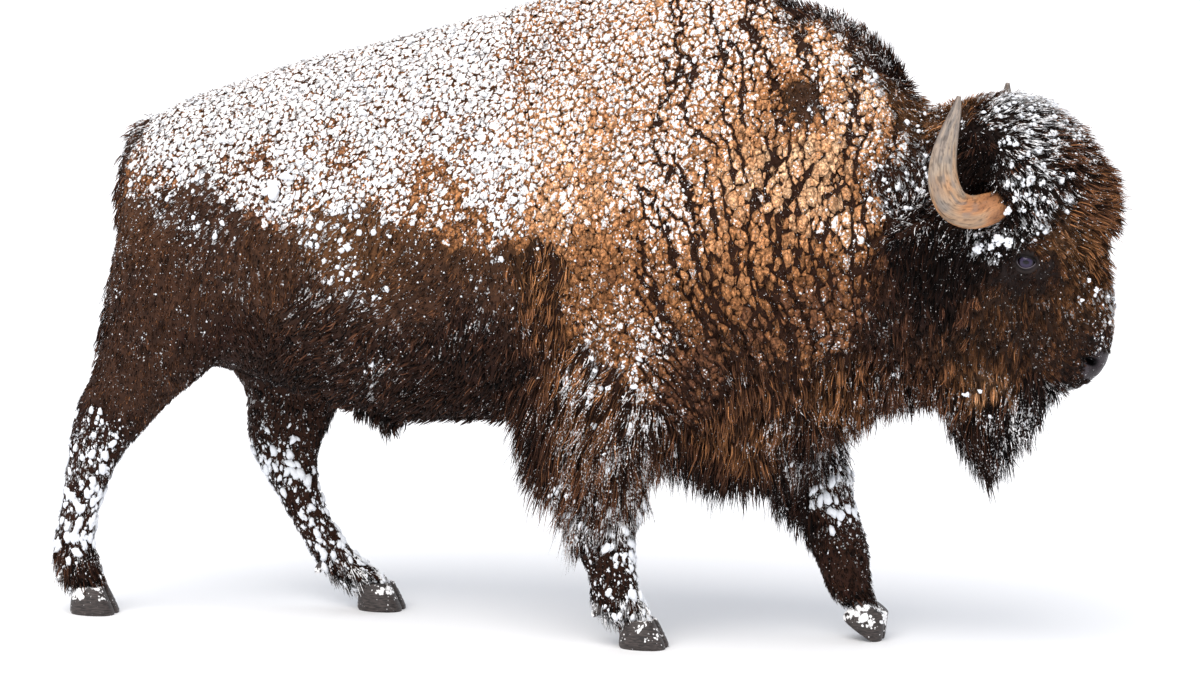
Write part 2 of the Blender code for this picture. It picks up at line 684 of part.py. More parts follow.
def dewclaw(foot, inner, nodes):
    """A short blunt claw that points down and back above the heel."""
    x, z = DEWCLAW_PLACES[foot]
    girdle, side = foot
    outward = 1 if side == "left" else -1
    away = -outward if inner else outward
    y = outward * TRACK + away * DEWCLAW_SPREAD
    line = np.array(DEWCLAW_LINE) * (1, away, 1)
    along, swell = np.array(DEWCLAW_SHAPE).T
    points = np.array([x, y, z]) + np.outer(along * DEWCLAW_LENGTH, line)
    radii = DEWCLAW_RADIUS * swell
    word = "inner" if inner else "outer"
    rings = path_rings(points, radii, radii * 0.85, 6, np.array([0.0, 1.0, 0.0]))
    return loft(f"dewclaw_{girdle}_{side}_{word}", rings, nodes, "hoof")


# --- Assembly ------------------------------------------------------------------------------------------
def tail_pieces(nodes, work):
    """The tail hangs against the rump: a bare dock, and below it the tuft."""
    rows = np.array(TAIL_PATH)
    dock = tube("tail", rows, nodes, "coat_dark")
    tuft = tube("tail_tuft", rows, nodes, "coat_dark")
    for item, above in ((dock, True), (tuft, False)):
        level = ((-2.0, TAIL_TUFT_TOP), (0.0, TAIL_TUFT_TOP))
        cutter = half_space(item.name + "_level", level, above, work)
        boolean(item, cutter, "INTERSECT")
    return [dock, tuft]


def main():
    clear_scene()
    nodes = new_collection("bison")
    work = new_collection("cutters")
    work.hide_render = True

    body = body_surface(work)
    sockets = {"head": [], "tail": []}
    for side in (1, -1):
        for item in (horn(side, nodes), eye(side, nodes), ear(side, nodes)):
            sockets["head"].append(swollen(item, ROOM, work))
        sockets["head"].append(eye_opening(side, work))
    for foot in FEET:
        sockets[foot] = []
        for inner in (True, False):
            hoof = claw(foot, inner, nodes)
            sockets[foot].append(swollen(hoof, ROOM, work))
            toe = dewclaw(foot, inner, nodes)
            sockets[foot].append(swollen(toe, ROOM, work))
            if FEET[foot][2]:
                level_sole(hoof, work)
    for item in tail_pieces(nodes, work):
        sockets["tail"].append(swollen(item, ROOM, work))
    part_body(body, sockets, nodes, work)
    for item in (*nodes.objects, *work.objects):
        item.location.x += MID_X


main()
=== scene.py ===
# %% [markdown]
# # A walking bull bison, life size
# A still model of a bull American bison in winter coat, as a museum shows one. The solids of the model
# give its outline out to the tips of the coat. Here a hide is made a little inside that outline, and the
# coat grows on it as small closed meshes: pads where the wool is matted, and tufts everywhere. Two tables
# say what the coat is like in each part of the body. The hide, the pads and the tufts all read them, so
# their markings agree.

import bmesh
import bpy
import numpy as np
from mathutils import Matrix


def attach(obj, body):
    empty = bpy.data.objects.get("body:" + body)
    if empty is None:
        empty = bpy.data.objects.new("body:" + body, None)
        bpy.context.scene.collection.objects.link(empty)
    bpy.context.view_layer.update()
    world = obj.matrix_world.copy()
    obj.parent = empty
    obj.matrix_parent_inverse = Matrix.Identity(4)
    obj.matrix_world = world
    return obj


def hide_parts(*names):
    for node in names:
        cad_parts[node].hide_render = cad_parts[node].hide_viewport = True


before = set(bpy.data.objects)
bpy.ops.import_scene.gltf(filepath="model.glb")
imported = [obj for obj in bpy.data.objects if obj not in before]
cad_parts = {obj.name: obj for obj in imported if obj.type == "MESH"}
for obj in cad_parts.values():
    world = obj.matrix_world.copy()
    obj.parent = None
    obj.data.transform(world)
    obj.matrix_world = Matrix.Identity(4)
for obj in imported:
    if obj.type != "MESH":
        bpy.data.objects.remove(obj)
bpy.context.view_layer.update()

rng = np.random.default_rng(11)
TUFT_SHARE = 1.0

# %% [markdown]
# ## Camera
# The animal is seen from its right side, a little from the front and from a little above. A long lens from
# far away keeps the near and far legs alike in size. The camera's turn is written as three axes, because
# that says exactly where it looks.

# %% Camera
MID_X = 0.0675  # how far the model stands from the place where its parts were first measured
AZIMUTH, ELEVATION, ROLL = np.radians((16.0, 7.5, 0.3))
CAMERA_TARGET = np.array((MID_X, 0.0, 0.835))
CAMERA_DISTANCE = 12.0
LENS = 129.6  # mm, on a 36 mm sensor


def unit(vectors):
    """Each row divided by its length."""
    return vectors / np.maximum(np.linalg.norm(vectors, axis=-1, keepdims=True), 1e-9)


def in_scene(name, data):
    """A new object with that data, put into the scene."""
    made = bpy.data.objects.new(name, data)
    bpy.context.scene.collection.objects.link(made)
    return made


def place_camera():
    """Backward is from the target to the camera. Right and up are square to it, then rolled."""
    backward = np.array(
        (np.sin(AZIMUTH) * np.cos(ELEVATION), -np.cos(AZIMUTH) * np.cos(ELEVATION), np.sin(ELEVATION))
    )
    level = unit(np.cross(-backward, (0, 0, 1)))
    upright = np.cross(level, -backward)
    right = np.cos(ROLL) * level + np.sin(ROLL) * upright
    up = np.cos(ROLL) * upright - np.sin(ROLL) * level
    turn = np.eye(4)
    turn[:3, :3] = np.column_stack((right, up, backward))
    turn[:3, 3] = CAMERA_TARGET + backward * CAMERA_DISTANCE
    lens = bpy.data.cameras.new("camera")
    lens.sensor_width, lens.lens, lens.clip_end = 36.0, LENS, 300.0
    bpy.context.scene.camera = in_scene("camera", lens)
    bpy.context.scene.camera.matrix_world = Matrix(turn.tolist())


place_camera()
print("camera", CAMERA_DISTANCE, "m away, lens", LENS, "mm")

# %% [markdown]
# ## Colours and nodes
# Colours are written as the sRGB hex values that an eye compares, and one function turns them to the linear
# values that Blender mixes. One small function adds a shader node with its settings and links.


# %% Helpers for materials
def linear(hex_colour):
    """sRGB to linear: the low end is divided by 12.92, the rest is a power of 2.4."""
    value = np.array([int(hex_colour[i : i + 2], 16) for i in (1, 3, 5)]) / 255
    return np.where(value <= 0.04045, value / 12.92, ((value + 0.055) / 1.055) ** 2.4)


def rgba(hex_colour):
    """The linear colour with full opacity, as sockets want it."""
    return (*linear(hex_colour), 1.0)


def toward(colours, other, share):
    """Colours moved towards another by a share at each point."""
    return colours + (other - colours) * share[..., None]


def join(tree, node, links):
    """Joins a node's inputs to (node, output)."""
    for name, (source, output) in links.items():
        tree.links.new(source.outputs[output], node.inputs[name])


def add(tree, kind, values=None, links=None, **settings):
    """Adds a shader node: settings are its own, values go to its inputs, and links are joined."""
    made = tree.nodes.new("ShaderNode" + kind)
    for name, value in settings.items():
        setattr(made, name, value)
    for name, value in (values or {}).items():
        made.inputs[name].default_value = value
    join(tree, made, links or {})
    return made


def new_finish(name, **shader_values):
    """A material with a Principled BSDF, and the values of its sockets."""
    made = bpy.data.materials.new(name)
    made.use_nodes = True
    tree = made.node_tree
    shader = tree.nodes["Principled BSDF"]
    for socket, value in shader_values.items():
        shader.inputs[socket.replace("_", " ")].default_value = value
    return made, tree, shader


# %% [markdown]
# ## Floor and light
# A wide pale floor fills the picture behind the animal, because the camera looks down on it. The light is a
# bright even sky and one very soft sun from above, as under a large studio tent.

# %% Floor and light
FLOOR_HALF = 60.0
WORLD_STRENGTH, SUN_STRENGTH = 1.05, 2.2


def build_stage():
    """A square of matt paper with its middle under the animal, an even sky, and a sun as wide as a tent."""
    mesh = bpy.data.meshes.new("floor")
    h = FLOOR_HALF
    mesh.from_pydata([(-h, -h, 0), (h, -h, 0), (h, h, 0), (-h, h, 0)], [], [(0, 1, 2, 3)])
    mesh.materials.append(new_finish("matt_studio_paper", Base_Color=rgba("#f2f3f5"), Roughness=0.9)[0])
    floor = in_scene("floor", mesh)
    world = bpy.data.worlds.new("studio")
    world.use_nodes = True
    sky = world.node_tree.nodes["Background"].inputs
    sky["Color"].default_value, sky["Strength"].default_value = rgba("#f1f4fa"), WORLD_STRENGTH
    bpy.context.scene.world = world
    sun = bpy.data.lights.new("soft_sun", "SUN")
    sun.energy, sun.angle, sun.color = SUN_STRENGTH, np.radians(50), linear("#fff8f0")
    in_scene("soft_sun", sun).rotation_euler = np.radians((34.0, -8.0, 0.0))
    bpy.context.scene.view_settings.view_transform = "Standard"


build_stage()
print("floor", 2 * FLOOR_HALF, "m wide")

# %% [markdown]
# ## Noise and cells
# Two patterns made with numpy serve everywhere: smooth random hills, and cells. A cell pattern scatters one
# seed in each box of a lattice, and every point belongs to its nearest seed. Wool that mats into clumps
# looks like that, with a dark line where two cells meet.


# %% Helpers for patterns
SEED_UNEVEN = 0.75


def chance(cell, salt):
    """A number from 0 to 1 for each whole-number place: its coordinates mixed by multiply and shift."""
    c = np.asarray(cell).astype(np.int64)
    h = (c[..., 0] * 73856093) ^ (c[..., 1] * 19349663) ^ (c[..., 2] * 83492791) ^ (salt * 2654435761)
    h = ((h ^ ((h & 0xFFFFFFFF) >> 15)) * 2246822519) & 0xFFFFFFFF
    h = ((h ^ (h >> 13)) * 3266489917) & 0xFFFFFFFF
    return (h ^ (h >> 16)) / 4294967296.0


def smooth(low, high, value):
    """0 below low, 1 above high, and an S curve between."""
    t = np.clip((value - low) / (high - low), 0, 1)
    return t * t * (3 - 2 * t)


def bell(value, middle, width):
    """1 at the middle, falling off as exp(-square)."""
    return np.exp(-(((value - middle) / width) ** 2))


def ripple(points, size, salt):
    """Smooth noise from 0 to 1: chance at the corners of a lattice, blended inside each box."""
    place = points / size
    base = np.floor(place)
    t = smooth(0, 1, place - base)
    total = np.zeros(len(points))
    for corner in np.ndindex(2, 2, 2):
        share = np.prod(np.where(np.array(corner) == 1, t, 1 - t), axis=1)
        total += share * chance(base + corner, salt)
    return total


def waves(points, *rows):
    """Noise about 0: amount x (ripple - 1/2), summed over rows of amount, size and salt."""
    return sum(amount * (ripple(points, size, salt) - 0.5) for amount, size, salt in rows)


# %% Cells
def cells(points, lattice, salt):
    """For each point: its nearest seed, how far it is from the cell's border, and a chance for the cell."""
    place = points @ lattice.T
    base = np.floor(place)
    first = np.full(len(points), 99.0)
    second = first.copy()
    seed = place.copy()
    for step in np.ndindex(3, 3, 3):
        box = base + np.array(step) - 1
        spot = seeds_in(box, salt)
        gap = ((spot - place) ** 2).sum(1) - seed_weight(box, salt)
        nearer = gap < first
        second = np.where(nearer, first, np.minimum(second, gap))
        seed[nearer] = spot[nearer]
        first = np.where(nearer, gap, first)
    return seed @ np.linalg.inv(lattice).T, second - first, chance(np.floor(seed), salt + 7)


def seed_weight(box, salt):
    """How much larger than its neighbours a seed's cell is."""
    return SEED_UNEVEN * chance(box, salt + 3)


def seeds_in(box, salt):
    """The seed of each box of the lattice, in boxes."""
    return box + np.column_stack([chance(box, salt + k) for k in range(3)])


def lattice(across_mm, along_mm, slope_degrees):
    """The matrix from metres to boxes, for cells that are longer along a direction in the side view."""
    a = np.radians(slope_degrees)
    rows = np.array(((-np.sin(a), 0, np.cos(a)), (0, 1, 0), (np.cos(a), 0, np.sin(a))))
    return rows * 1000 / np.array((across_mm, across_mm, along_mm))[:, None]


# %% [markdown]
# ## What the coat is like
# A bison's coat differs from place to place: short on the barrel, woolly on the hump, in long hanging
# fringes on the chest and forelegs, and a mop between the horns. The first table gives each kind of coat
# its measures. The second says where on the body each kind is, how light it is, how much snow it holds and
# which way it lies. Between the listed places the values blend.

# %% The kinds of coat
def rows_of(table):
    """The words of each line of a table."""
    return [line.split() for line in table.strip().split("\n")]


KIND_FIELDS = ("length", "width", "depth", "stand", "hang", "pull", "cover", "mound", "folds", "pads")
# Each line: the kind, length, width and depth of the coat in mm, stand in degrees, hang, pull to the clump,
# cover, mound of the clumps in mm, share of the neck's folds, whether the wool mats to pads, its clumps.
COAT_KINDS = """
back 13 3.2 12 20 0.00 0.50 0.50 6 0.10 1 fine
ribs 16 3.4 11 17 0.05 0.50 0.62 4 0.05 1 fine
barrel 20 4.2 10 13 0.05 0.50 1.50 3 0.05 0 fine
thigh 18 4.2 8 12 0.05 0.35 1.50 2 0.00 0 fine
belly 32 4.6 11 14 0.25 0.45 1.50 3 0.10 0 fine
cape 11 2.6 15 30 0.00 0.55 0.36 8 0.65 1 wool
worn 13 3.2 15 16 0.00 0.40 1.60 3 0.15 0 fine
neck 12 2.6 16 28 0.05 0.55 0.40 8 1.00 1 ridge
cape_edge 56 3.6 16 12 0.20 0.55 1.80 5 0.60 0 lock
crest 54 3.2 30 50 0.00 0.15 3.60 0 0.00 0 lock
chaps_top 50 3.6 20 13 0.40 0.60 2.00 5 0.50 0 lock
chaps 84 3.6 28 13 0.60 0.60 2.40 6 0.50 0 lock
fringe_top 48 3.6 20 13 0.40 0.65 2.00 6 0.80 0 lock
fringe 74 3.6 30 16 0.80 0.60 2.40 6 0.50 0 lock
mop 34 3.0 28 34 0.00 0.60 2.35 6 0.00 0 wool
forelock 60 3.0 26 44 0.05 0.35 2.60 4 0.00 0 wool
brow 20 2.6 12 20 0.05 0.55 3.00 4 0.00 0 wool
cheek 26 2.7 13 14 0.20 0.50 3.00 4 0.20 0 lock
muzzle 13 2.3 6 15 0.00 0.30 3.30 1 0.00 0 fine
bare 8 1.7 3 10 0.00 0.00 3.40 0 0.00 0 fine
ear 38 3.8 8 20 0.30 0.40 2.00 2 0.00 0 lock
black 46 4.0 20 17 0.40 0.50 2.00 5 0.00 0 lock
beard_top 50 4.0 18 13 0.50 0.55 2.00 5 0.20 0 lock
beard 58 3.8 24 12 0.60 0.60 2.40 6 0.30 0 lock
beard_tip 64 3.0 18 12 0.70 0.60 3.00 3 0.00 0 lock
leg 15 3.6 7 13 0.10 0.40 1.60 2 0.00 0 fine
hoof_fringe 36 3.6 8 16 0.60 0.40 2.20 2 0.00 0 fine
tail 62 4.0 9 20 0.20 0.40 2.20 2 0.00 0 lock
"""
STREAKS = lattice(9, 34, -105)  # locks of lighter and darker hair
CLUMPS = {
    "fine": lattice(15, 26, -118), "wool": lattice(17, 31, -95),
    "ridge": lattice(18, 46, -88), "lock": lattice(20, 80, -92),
}
FOLDS = (  # the neck's folds: how far apart, how wide, how deep and how long in mm, and their slant
    (38, 3.0, 6.0, 130, 0.12),
    (94, 6.5, 20.0, 330, -0.08),
)
FOLD_OPENS = ((0.40, 0.58), (0.28, 0.46))  # how rarely the folds of each size are open
FOLD_POLE = np.array((0.78, 0.0, 0.10))  # the folds run towards the throat, and meet below it
FOLD_REACH = 1.2  # height above the pole where a fold has its full width
FOLDS_FROM = (0.12, 0.42)  # x between which the folds grow from none to full
FOLD_GAIN = 1.3  # the folds have their full depth where the table's share times this is 1 or more
print(len(rows_of(COAT_KINDS)), "kinds of coat")

# %% Where each kind of coat is
# Each line: the place, its x, distance from the middle plane, z and reach in metres, kind of coat, tone,
# snow, and lie in the side view in degrees.
COAT_REGIONS = """
croup -1.07 0.13 1.43 0.15 back 0.50 0.86 -165
rump_top -1.21 0.15 1.33 0.11 back 0.50 0.56 -150
rump_fleck -1.13 0.21 1.28 0.07 ribs 0.46 0.40 -140
rump_side -1.08 0.25 1.19 0.12 thigh 0.40 0.48 -125
buttock -1.19 0.24 1.10 0.10 thigh 0.46 0.30 -100
seat -1.31 0.10 1.08 0.10 thigh 0.44 0.08 -95
loin -0.76 0.15 1.50 0.15 back 0.52 0.97 -165
loin_side -0.66 0.26 1.33 0.13 ribs 0.54 0.68 -140
hip -0.88 0.25 1.28 0.10 ribs 0.48 0.44 -135
hip_gap -0.96 0.28 1.14 0.09 thigh 0.35 0.22 -120
flank -0.81 0.30 1.01 0.09 barrel 0.43 0.12 -100
thigh -1.07 0.27 0.93 0.13 thigh 0.40 0.10 -100
thigh_back -1.24 0.26 0.92 0.08 thigh 0.34 0.22 -95
thigh_low -1.17 0.25 0.71 0.12 thigh 0.35 0.05 -100
stifle -0.97 0.20 0.80 0.09 thigh 0.14 0.05 -80
back -0.38 0.14 1.60 0.15 back 0.54 0.96 -168
back_side -0.35 0.25 1.43 0.13 ribs 0.56 0.68 -135
ribs_high -0.41 0.32 1.25 0.12 ribs 0.60 0.62 -120
ribs -0.52 0.34 1.12 0.12 barrel 0.64 0.62 -115
ribs_front -0.17 0.35 1.22 0.10 ribs 0.60 0.60 -105
ribs_mid -0.40 0.34 1.00 0.12 barrel 0.43 0.24 -150
ribs_fore -0.15 0.34 1.01 0.10 barrel 0.45 0.30 -95
side_low -0.63 0.27 0.83 0.12 belly 0.28 0.06 -150
side_speck -0.48 0.26 0.78 0.07 belly 0.28 0.55 -140
elbow_side -0.22 0.28 0.84 0.11 belly 0.18 0.06 -110
belly -0.40 0.19 0.68 0.12 belly 0.18 0.05 -150
groin -0.76 0.16 0.70 0.09 belly 0.17 0.04 -130
withers -0.01 0.13 1.70 0.13 cape 0.68 0.92 -165
hump_top 0.34 0.10 1.75 0.13 cape 0.80 0.88 -120
hump_back 0.03 0.26 1.49 0.11 cape 0.82 0.84 -120
hump_crease -0.07 0.18 1.61 0.07 cape 0.48 0.74 -150
shoulder_back 0.11 0.34 1.28 0.11 cape 0.85 0.62 -95
shoulder 0.26 0.27 1.44 0.12 cape 0.74 0.84 -110
shoulder_mid 0.33 0.35 1.23 0.11 cape 0.78 0.68 -80
cape_low 0.23 0.37 1.09 0.10 cape 0.59 0.16 -95
cape_edge 0.00 0.35 1.05 0.06 cape_edge 0.66 0.14 -100
cape_edge_low 0.00 0.30 0.89 0.06 cape_edge 0.46 0.05 -100
hump_front 0.54 0.20 1.55 0.11 cape 0.78 0.40 -70
neck_top 0.73 0.10 1.68 0.10 cape 0.92 0.60 -60
neck_high 0.85 0.18 1.49 0.09 cape 0.96 0.52 -55
neck_dark 0.68 0.20 1.53 0.065 worn 0.36 0.22 -70
neck_front 0.64 0.30 1.31 0.10 neck 0.90 0.20 -70
neck_side 0.76 0.29 1.30 0.09 neck 0.90 0.04 -72
neck_snow 0.88 0.29 1.18 0.07 neck 0.80 0.60 -80
neck_nape 0.93 0.18 1.40 0.07 neck 0.74 0.40 -60
neck_mid 0.61 0.35 1.11 0.10 neck 0.72 0.05 -80
neck_low 0.79 0.29 1.00 0.10 neck 0.46 0.05 -85
neck_lower 0.65 0.29 0.88 0.10 neck 0.44 0.10 -82
arm 0.16 0.32 0.90 0.09 cape 0.62 0.32 -120
arm_snow 0.27 0.30 0.83 0.09 cape 0.58 0.72 -110
arm_mid 0.14 0.31 0.75 0.09 chaps_top 0.55 0.70 -110
arm_gap 0.40 0.28 0.75 0.08 neck 0.34 0.10 -60
chest 0.59 0.24 0.72 0.11 fringe_top 0.46 0.10 -88
chest_front 0.79 0.19 0.76 0.08 fringe_top 0.60 0.34 -88
throat_top 0.94 0.23 0.92 0.08 cheek 0.30 0.08 -90
throat 0.91 0.15 0.76 0.07 fringe_top 0.34 0.62 -90
throat_low 0.93 0.05 0.65 0.06 fringe 0.10 0.35 -95
brisket 0.52 0.18 0.58 0.09 fringe_top 0.56 0.06 -92
brisket_low 0.44 0.10 0.45 0.08 fringe 0.10 0.02 -92
brisket_front 0.69 0.09 0.55 0.06 fringe 0.12 0.65 -95
crest_start 0.64 0.00 1.765 0.045 crest 0.06 0.00 150
crest_high 0.68 0.00 1.75 0.05 crest 0.04 0.00 140
crest 0.76 0.00 1.72 0.055 crest 0.02 0.00 120
crest_mid 0.84 0.00 1.67 0.06 crest 0.02 0.00 110
crest_low 0.91 0.00 1.59 0.06 crest 0.02 0.00 100
chaps_back -0.04 0.27 0.61 0.08 chaps 0.22 0.05 -112
chaps 0.10 0.29 0.59 0.08 chaps 0.48 0.74 -105
chaps_front 0.23 0.28 0.62 0.07 chaps 0.40 0.72 -95
forearm 0.11 0.24 0.42 0.08 chaps 0.34 0.62 -100
forearm_front 0.19 0.21 0.33 0.06 leg 0.12 1.00 -90
fore_knee 0.13 0.21 0.21 0.06 leg 0.10 0.34 -90
fore_foot 0.17 0.21 0.10 0.05 hoof_fringe 0.10 0.80 -85
far_arm 0.63 0.07 0.41 0.07 chaps_top 0.08 0.45 -95
far_arm_snow 0.74 0.11 0.42 0.05 leg 0.10 0.95 -80
far_forearm 0.76 0.10 0.31 0.06 leg 0.14 0.20 -80
far_cannon 0.76 0.10 0.19 0.06 leg 0.22 0.12 -70
far_pastern 0.80 0.10 0.10 0.05 hoof_fringe 0.16 0.18 -60
hock -1.36 0.21 0.50 0.06 leg 0.14 0.86 -85
hock_back -1.44 0.19 0.47 0.05 leg 0.12 0.82 -90
cannon -1.42 0.20 0.30 0.06 leg 0.13 0.74 -90
pastern -1.41 0.20 0.13 0.05 hoof_fringe 0.24 0.40 -80
far_thigh -0.89 0.06 0.61 0.07 thigh 0.04 0.08 -85
far_hock -0.89 0.09 0.46 0.06 leg 0.10 0.55 -80
far_cannon_hind -0.80 0.12 0.26 0.06 leg 0.14 0.50 -60
far_pastern_hind -0.69 0.10 0.10 0.05 hoof_fringe 0.16 0.60 -45
sheath -0.57 0.04 0.57 0.04 hoof_fringe 0.10 0.10 -90
nape_tuft 0.99 0.05 1.51 0.10 mop 0.74 0.30 -60
crown_side 0.98 0.18 1.35 0.09 mop 0.24 0.62 -110
crown 1.22 0.14 1.53 0.08 mop 0.30 0.74 10
temple 1.18 0.21 1.37 0.06 mop 0.04 0.10 -100
bonnet 1.34 0.16 1.41 0.09 mop 0.34 0.80 -25
bonnet_low 1.32 0.19 1.27 0.08 mop 0.18 0.58 -60
forehead_top 1.43 0.02 1.43 0.08 forelock 0.46 0.30 0
forehead 1.50 0.07 1.27 0.07 forelock 0.48 0.10 -10
forehead_low 1.51 0.03 1.17 0.07 forelock 0.44 0.08 -25
brow 1.40 0.14 1.18 0.06 brow 0.80 0.24 -45
brow_front 1.46 0.07 1.11 0.05 mop 0.72 0.10 -45
horn_root 1.25 0.20 1.19 0.05 brow 0.08 0.55 -110
ear_tip 0.95 0.31 1.15 0.05 ear 0.00 0.10 -112
ear 1.02 0.25 1.19 0.06 ear 0.04 0.10 -110
ear_root 1.06 0.20 1.11 0.06 black 0.00 0.08 -110
below_ear 1.07 0.20 1.00 0.07 black 0.02 0.03 -100
eye_ring 1.29 0.16 1.10 0.045 bare 0.14 0.00 -100
eye_front 1.35 0.13 1.08 0.035 bare 0.24 0.02 -60
nose_bridge 1.48 0.06 1.03 0.06 brow 0.62 0.42 -80
nose_side 1.41 0.10 0.99 0.06 brow 0.58 0.12 -60
muzzle_side 1.39 0.09 0.88 0.06 muzzle 0.44 0.12 -55
cheek_front 1.29 0.13 0.91 0.07 cheek 0.42 0.05 -80
cheek 1.20 0.16 0.92 0.08 cheek 0.54 0.03 -95
cheek_back 1.07 0.14 0.87 0.08 cheek 0.42 0.04 -95
jaw 1.16 0.14 0.77 0.07 cheek 0.82 0.20 -92
jaw_low 1.06 0.09 0.71 0.06 beard_top 0.36 0.36 -92
nose_top 1.48 0.05 0.89 0.04 muzzle 0.28 0.40 -70
nose_pad 1.49 0.01 0.82 0.03 bare 0.10 0.00 -90
nose_wing 1.46 0.06 0.81 0.025 muzzle 0.10 0.00 -90
nostril_side 1.42 0.08 0.84 0.035 muzzle 0.20 0.04 -60
lip 1.40 0.05 0.76 0.04 muzzle 0.16 0.12 -60
chin 1.33 0.04 0.72 0.05 beard_top 0.07 0.50 -80
beard_front 1.26 0.07 0.66 0.06 beard 0.08 0.75 -80
beard 1.18 0.09 0.63 0.06 beard 0.18 0.95 -85
beard_tip 1.18 0.02 0.54 0.05 beard_tip 0.10 0.40 -85
beard_back 1.10 0.08 0.65 0.06 beard 0.06 0.20 -90
tail_root -1.29 0.00 1.37 0.05 tail 0.34 0.50 -110
tail -1.35 0.00 1.18 0.06 tail 0.26 0.12 -93
tail_tuft -1.37 0.00 0.86 0.08 tail 0.06 0.25 -91
"""
print(len(rows_of(COAT_REGIONS)), "places on the body")

# %% [markdown]
# The head looks a little to the animal's right. The tables were measured on a head that looks straight
# ahead, so points on the head are turned back before they are looked up, and pieces of the head are turned
# the other way once they are made.

# %% Looking the tables up
HEAD_TURN = np.radians(-3.5)
HEAD_PIVOT = np.array((0.86 + MID_X, 0.0, 0.0))
NECK_END, HEAD_START = 0.88, 1.02  # x between which the turn grows from none to full
MARKING_FIELDS = (*KIND_FIELDS, "tone", "snow", "lie_x", "lie_z", *CLUMPS)
RAGGED = 0.045  # metres by which the borders between places wander
RAGGED_SIZES = ((0.05, 30), (0.018, 40))  # size of the noise that they follow, and its salt
GAP_COUNTS = (1.0, 0.6, 1.0)  # a step across the body counts less than one along it
AT_ONCE = 20000  # points looked up at once, to save memory


def turn_about_neck(points, share):
    """Points turned about the upright line through the neck by a share of the head's turn."""
    away = points - HEAD_PIVOT
    c, s = np.cos(HEAD_TURN * share), np.sin(HEAD_TURN * share)
    turned = np.column_stack((c * away[:, 0] - s * away[:, 1], s * away[:, 0] + c * away[:, 1], away[:, 2]))
    return turned + HEAD_PIVOT


def facing_ahead(points):
    """Points of the turned head as they would be on a head that looks straight ahead."""
    return turn_about_neck(points, -smooth(NECK_END, HEAD_START, points[:, 0]))


def region_rows():
    """The places' centres and reaches, and one row of values each in the order of MARKING_FIELDS."""
    kinds = {name: measures for name, *measures in rows_of(COAT_KINDS)}
    found = []
    for _, x, away, z, reach, kind, tone, snow, lie in rows_of(COAT_REGIONS):
        *measures, clump = kinds[kind]
        slope = np.radians(float(lie))
        share = [clump == name for name in CLUMPS]
        row = (x, away, z, reach, *measures, tone, snow, np.cos(slope), np.sin(slope), *share)
        found.append([float(value) for value in row])
    found = np.array(found)
    return found[:, :3], found[:, 3], found[:, 4:]


def coat_at(points):
    """Each point's values: the places' rows, weighted by exp(-(distance / reach) squared)."""
    places, reaches, rows = region_rows()
    ragged = [sum(ripple(points, size, salt + k) for size, salt in RAGGED_SIZES) for k in range(3)]
    ahead = facing_ahead(points) + (np.column_stack(ragged) - 1.0) * RAGGED
    ahead[:, 1] = np.abs(ahead[:, 1])
    values = []
    for part in np.array_split(ahead, max(1, len(points) // AT_ONCE)):
        gap = (part[:, None, :] - places) * GAP_COUNTS
        score = -(gap**2).sum(2) / reaches**2
        weight = np.exp(score - score.max(1, keepdims=True))
        values.append(weight @ rows / weight.sum(1, keepdims=True))
    return dict(zip(MARKING_FIELDS, np.vstack(values).T))


# %% Tones of the coat
COAT_TONES = (
    (0.0, "#170e0c"), (0.2, "#3d261c"), (0.4, "#6d4834"),
    (0.6, "#9e6a42"), (0.8, "#cc9163"), (1.0, "#f3c69c"),
)


def colour_between(stops, at):
    """Colours read from a list of (place, hex colour) at the given places, blended between them."""
    shades = np.array([linear(shade) for _, shade in stops])
    return np.column_stack([np.interp(at, [place for place, _ in stops], shades[:, k]) for k in range(3)])


def coat_colour(tone):
    """The colour between black-brown and pale gold at that tone, from 0 to 1."""
    return colour_between(COAT_TONES, tone)


# %% [markdown]
# ## The hide
# The solids meet at hair-thin gaps. Copies of them are filled by a voxel remesh into one closed surface,
# which is moved inwards by the depth of the coat at each place and remeshed once more, so that thin places
# stay clean. The face gets finer faces, because eyes and nostrils are shaped into it.


# %% Meshes in and out
HIDE_VOXEL = 0.0125
SPECK = 50  # an island of fewer points is no part of the hide
SOFTEN = 0.5  # how far each smoothing step moves a point to its neighbours' middle
HANG_ROOM = 0.75  # share of the hanging hair's length that hangs below the hide
FINER_WITHIN = (0.11, 0.065)  # metres from an eye or a nostril: edges are halved once inside each
FLESH = [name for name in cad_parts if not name.startswith(("eye", "horn", "hoof", "dewclaw"))]
EYE_CENTRE = np.array((1.234 + MID_X, 0.1420, 1.110))
EYE_RADIUS = 0.0255
EYE_OUTWARD = unit(np.array((0.18, 1.0, 0.02)))
NOSTRIL = np.array((1.470, 0.058, 0.838))
BOTH_SIDES = (1, -1)


def one_surface(mesh, voxel, steps):
    """The mesh remeshed to even squares and smoothed, as a new mesh."""
    work = in_scene("work", mesh)
    remesh = work.modifiers.new("remesh", "REMESH")
    remesh.mode, remesh.voxel_size = "VOXEL", voxel
    soften = work.modifiers.new("soften", "SMOOTH")
    soften.factor, soften.iterations = SOFTEN, steps
    made = bpy.data.meshes.new_from_object(work.evaluated_get(bpy.context.evaluated_depsgraph_get()))
    bpy.data.objects.remove(work)
    return made


# %% Numbers out, mesh in
def read(group, what, kind=float):
    """Three numbers for each point or triangle of a mesh."""
    found = np.empty(len(group) * 3, kind)
    group.foreach_get(what, found)
    return found.reshape(-1, 3)


def points_of(mesh):
    """The places of a mesh's points."""
    return read(mesh.vertices, "co")


def normals_of(mesh):
    """The outward directions at a mesh's points."""
    return read(mesh.vertex_normals, "vector")


def as_mesh(name, shape):
    """A finished bmesh as a mesh."""
    made = bpy.data.meshes.new(name)
    shape.to_mesh(made)
    shape.free()
    return made


